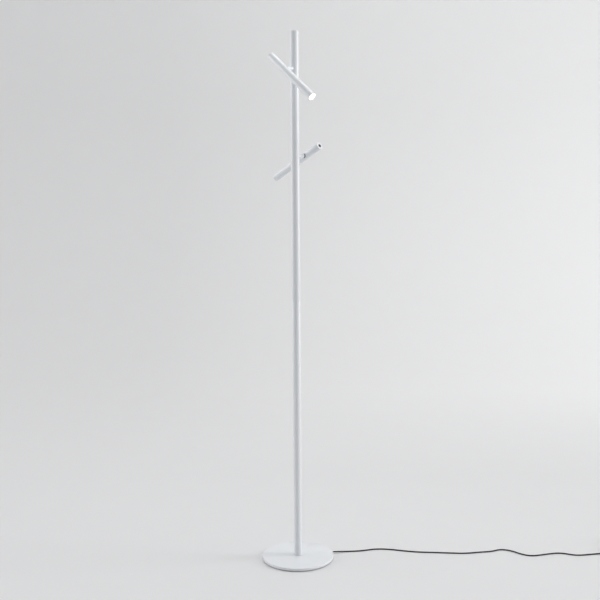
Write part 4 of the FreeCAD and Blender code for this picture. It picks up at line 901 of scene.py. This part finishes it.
class LAMP_OT_stage(bpy.types.Operator):
    """Sets up the floor with its curved backdrop, the lights and the room"""

    bl_idname = "lamp.stage"
    bl_label = "Set Stage"

    def execute(self, context):
        look = context.scene.lamp_stage
        self.backdrop(look)
        for name, power, place, target, size in LIGHTS:
            self.light(name, getattr(look, power), place, target, size)
        self.room(context.scene, look)
        context.scene.view_settings.view_transform = "Standard"
        return {"FINISHED"}

    def backdrop(self, look):
        """Floor that runs level to the back, turns up in a quarter circle and stands upright: its line is
        (s, 0) on the floor, then the arc, then the wall, and it is the same for all x."""
        radius, start = BACKDROP["turn_radius"], BACKDROP["turn_start"]
        turn = np.linspace(0, math.pi / 2, BACKDROP["turn_points"])
        arc = np.stack([start + radius * np.sin(turn), radius - radius * np.cos(turn)], axis=-1)
        line = np.concatenate([[[BACKDROP["near"], 0.0]], arc, [[start + radius, BACKDROP["top"]]]])
        across = np.linspace(-BACKDROP["half_width"], BACKDROP["half_width"], BACKDROP["columns"])
        points = np.stack([np.repeat(across[None], len(line), axis=0),
                           np.repeat(line[:, :1], len(across), axis=1),
                           np.repeat(line[:, 1:], len(across), axis=1)], axis=-1)
        obj = surface("floor_and_backdrop", points, around=False, angle=BACKDROP["smooth"])
        obj.data.materials.append(floor_finish(look))

    def light(self, name, power, place, target, size):
        """Rectangular soft light that faces its target."""
        data = bpy.data.lights.new(name, "AREA")
        data.shape = "RECTANGLE"
        data.size, data.size_y = size
        data.energy = power
        lamp = bpy.data.objects.new(name, data)
        bpy.context.scene.collection.objects.link(lamp)
        lamp.location = place
        lamp.rotation_euler = (Vector(target) - Vector(place)).to_track_quat("-Z", "Y").to_euler()

    def room(self, scene, look):
        """Soft light from all sides, weaker from the camera's side, and an even grey where it is seen."""
        scene.world = scene.world or bpy.data.worlds.new("room")
        scene.world.use_nodes = True
        tree = scene.world.node_tree
        back = tree.nodes["Background"]
        back.inputs["Color"].default_value = ROOM_COLOR
        way = tree.nodes.new("ShaderNodeSeparateXYZ")
        tree.links.new(tree.nodes.new("ShaderNodeTexCoord").outputs["Generated"], way.inputs[0])
        aside = maths(tree, "ABSOLUTE", way.outputs["X"])
        away = maths(tree, "MAXIMUM", aside, mapped(tree, way.outputs["Y"], -0.2, 0.6, 0.0, 1.0))
        lit = mapped(tree, away, 0.3, 0.9, look.room_front * look.room_light, look.room_light)
        level = tree.nodes.new("ShaderNodeMix")
        level.inputs["B"].default_value = look.room_seen
        tree.links.new(seen(tree), level.inputs["Factor"])
        tree.links.new(lit, level.inputs["A"])
        tree.links.new(level.outputs["Result"], back.inputs["Strength"])


class LAMP_PT_build(bpy.types.Panel):
    """Lists the steps that build the lamp"""

    bl_idname = "LAMP_PT_build"
    bl_label = "Floor Lamp"
    bl_space_type = "VIEW_3D"
    bl_region_type = "UI"
    bl_category = "Lamp"

    def draw(self, context):
        for step in STEPS:
            self.layout.operator(step.bl_idname)
        for group in (context.scene.lamp_sizes, context.scene.lamp_finish, context.scene.lamp_stage):
            for name in group.__annotations__:
                self.layout.prop(group, name)


STEPS = (LAMP_OT_camera, LAMP_OT_cord, LAMP_OT_driver, LAMP_OT_base, LAMP_OT_pole, LAMP_OT_arms,
         LAMP_OT_spots, LAMP_OT_stage)
GROUP_TYPES = (LampSizes, LampFinish, StageLook)


def register():
    for kind in GROUP_TYPES + STEPS + (LAMP_PT_build,):
        bpy.utils.register_class(kind)
    bpy.types.Scene.lamp_sizes = PointerProperty(type=LampSizes)
    bpy.types.Scene.lamp_finish = PointerProperty(type=LampFinish)
    bpy.types.Scene.lamp_stage = PointerProperty(type=StageLook)


def unregister():
    del bpy.types.Scene.lamp_stage
    del bpy.types.Scene.lamp_finish
    del bpy.types.Scene.lamp_sizes
    for kind in reversed(GROUP_TYPES + STEPS + (LAMP_PT_build,)):
        bpy.utils.unregister_class(kind)


def main():
    register()
    bpy.ops.lamp.camera()
    bpy.ops.lamp.cord()
    bpy.ops.lamp.driver()
    bpy.ops.lamp.base()
    bpy.ops.lamp.pole()
    bpy.ops.lamp.arms()
    bpy.ops.lamp.spots()
    bpy.ops.lamp.stage()


if __name__ == "__main__":
    main()
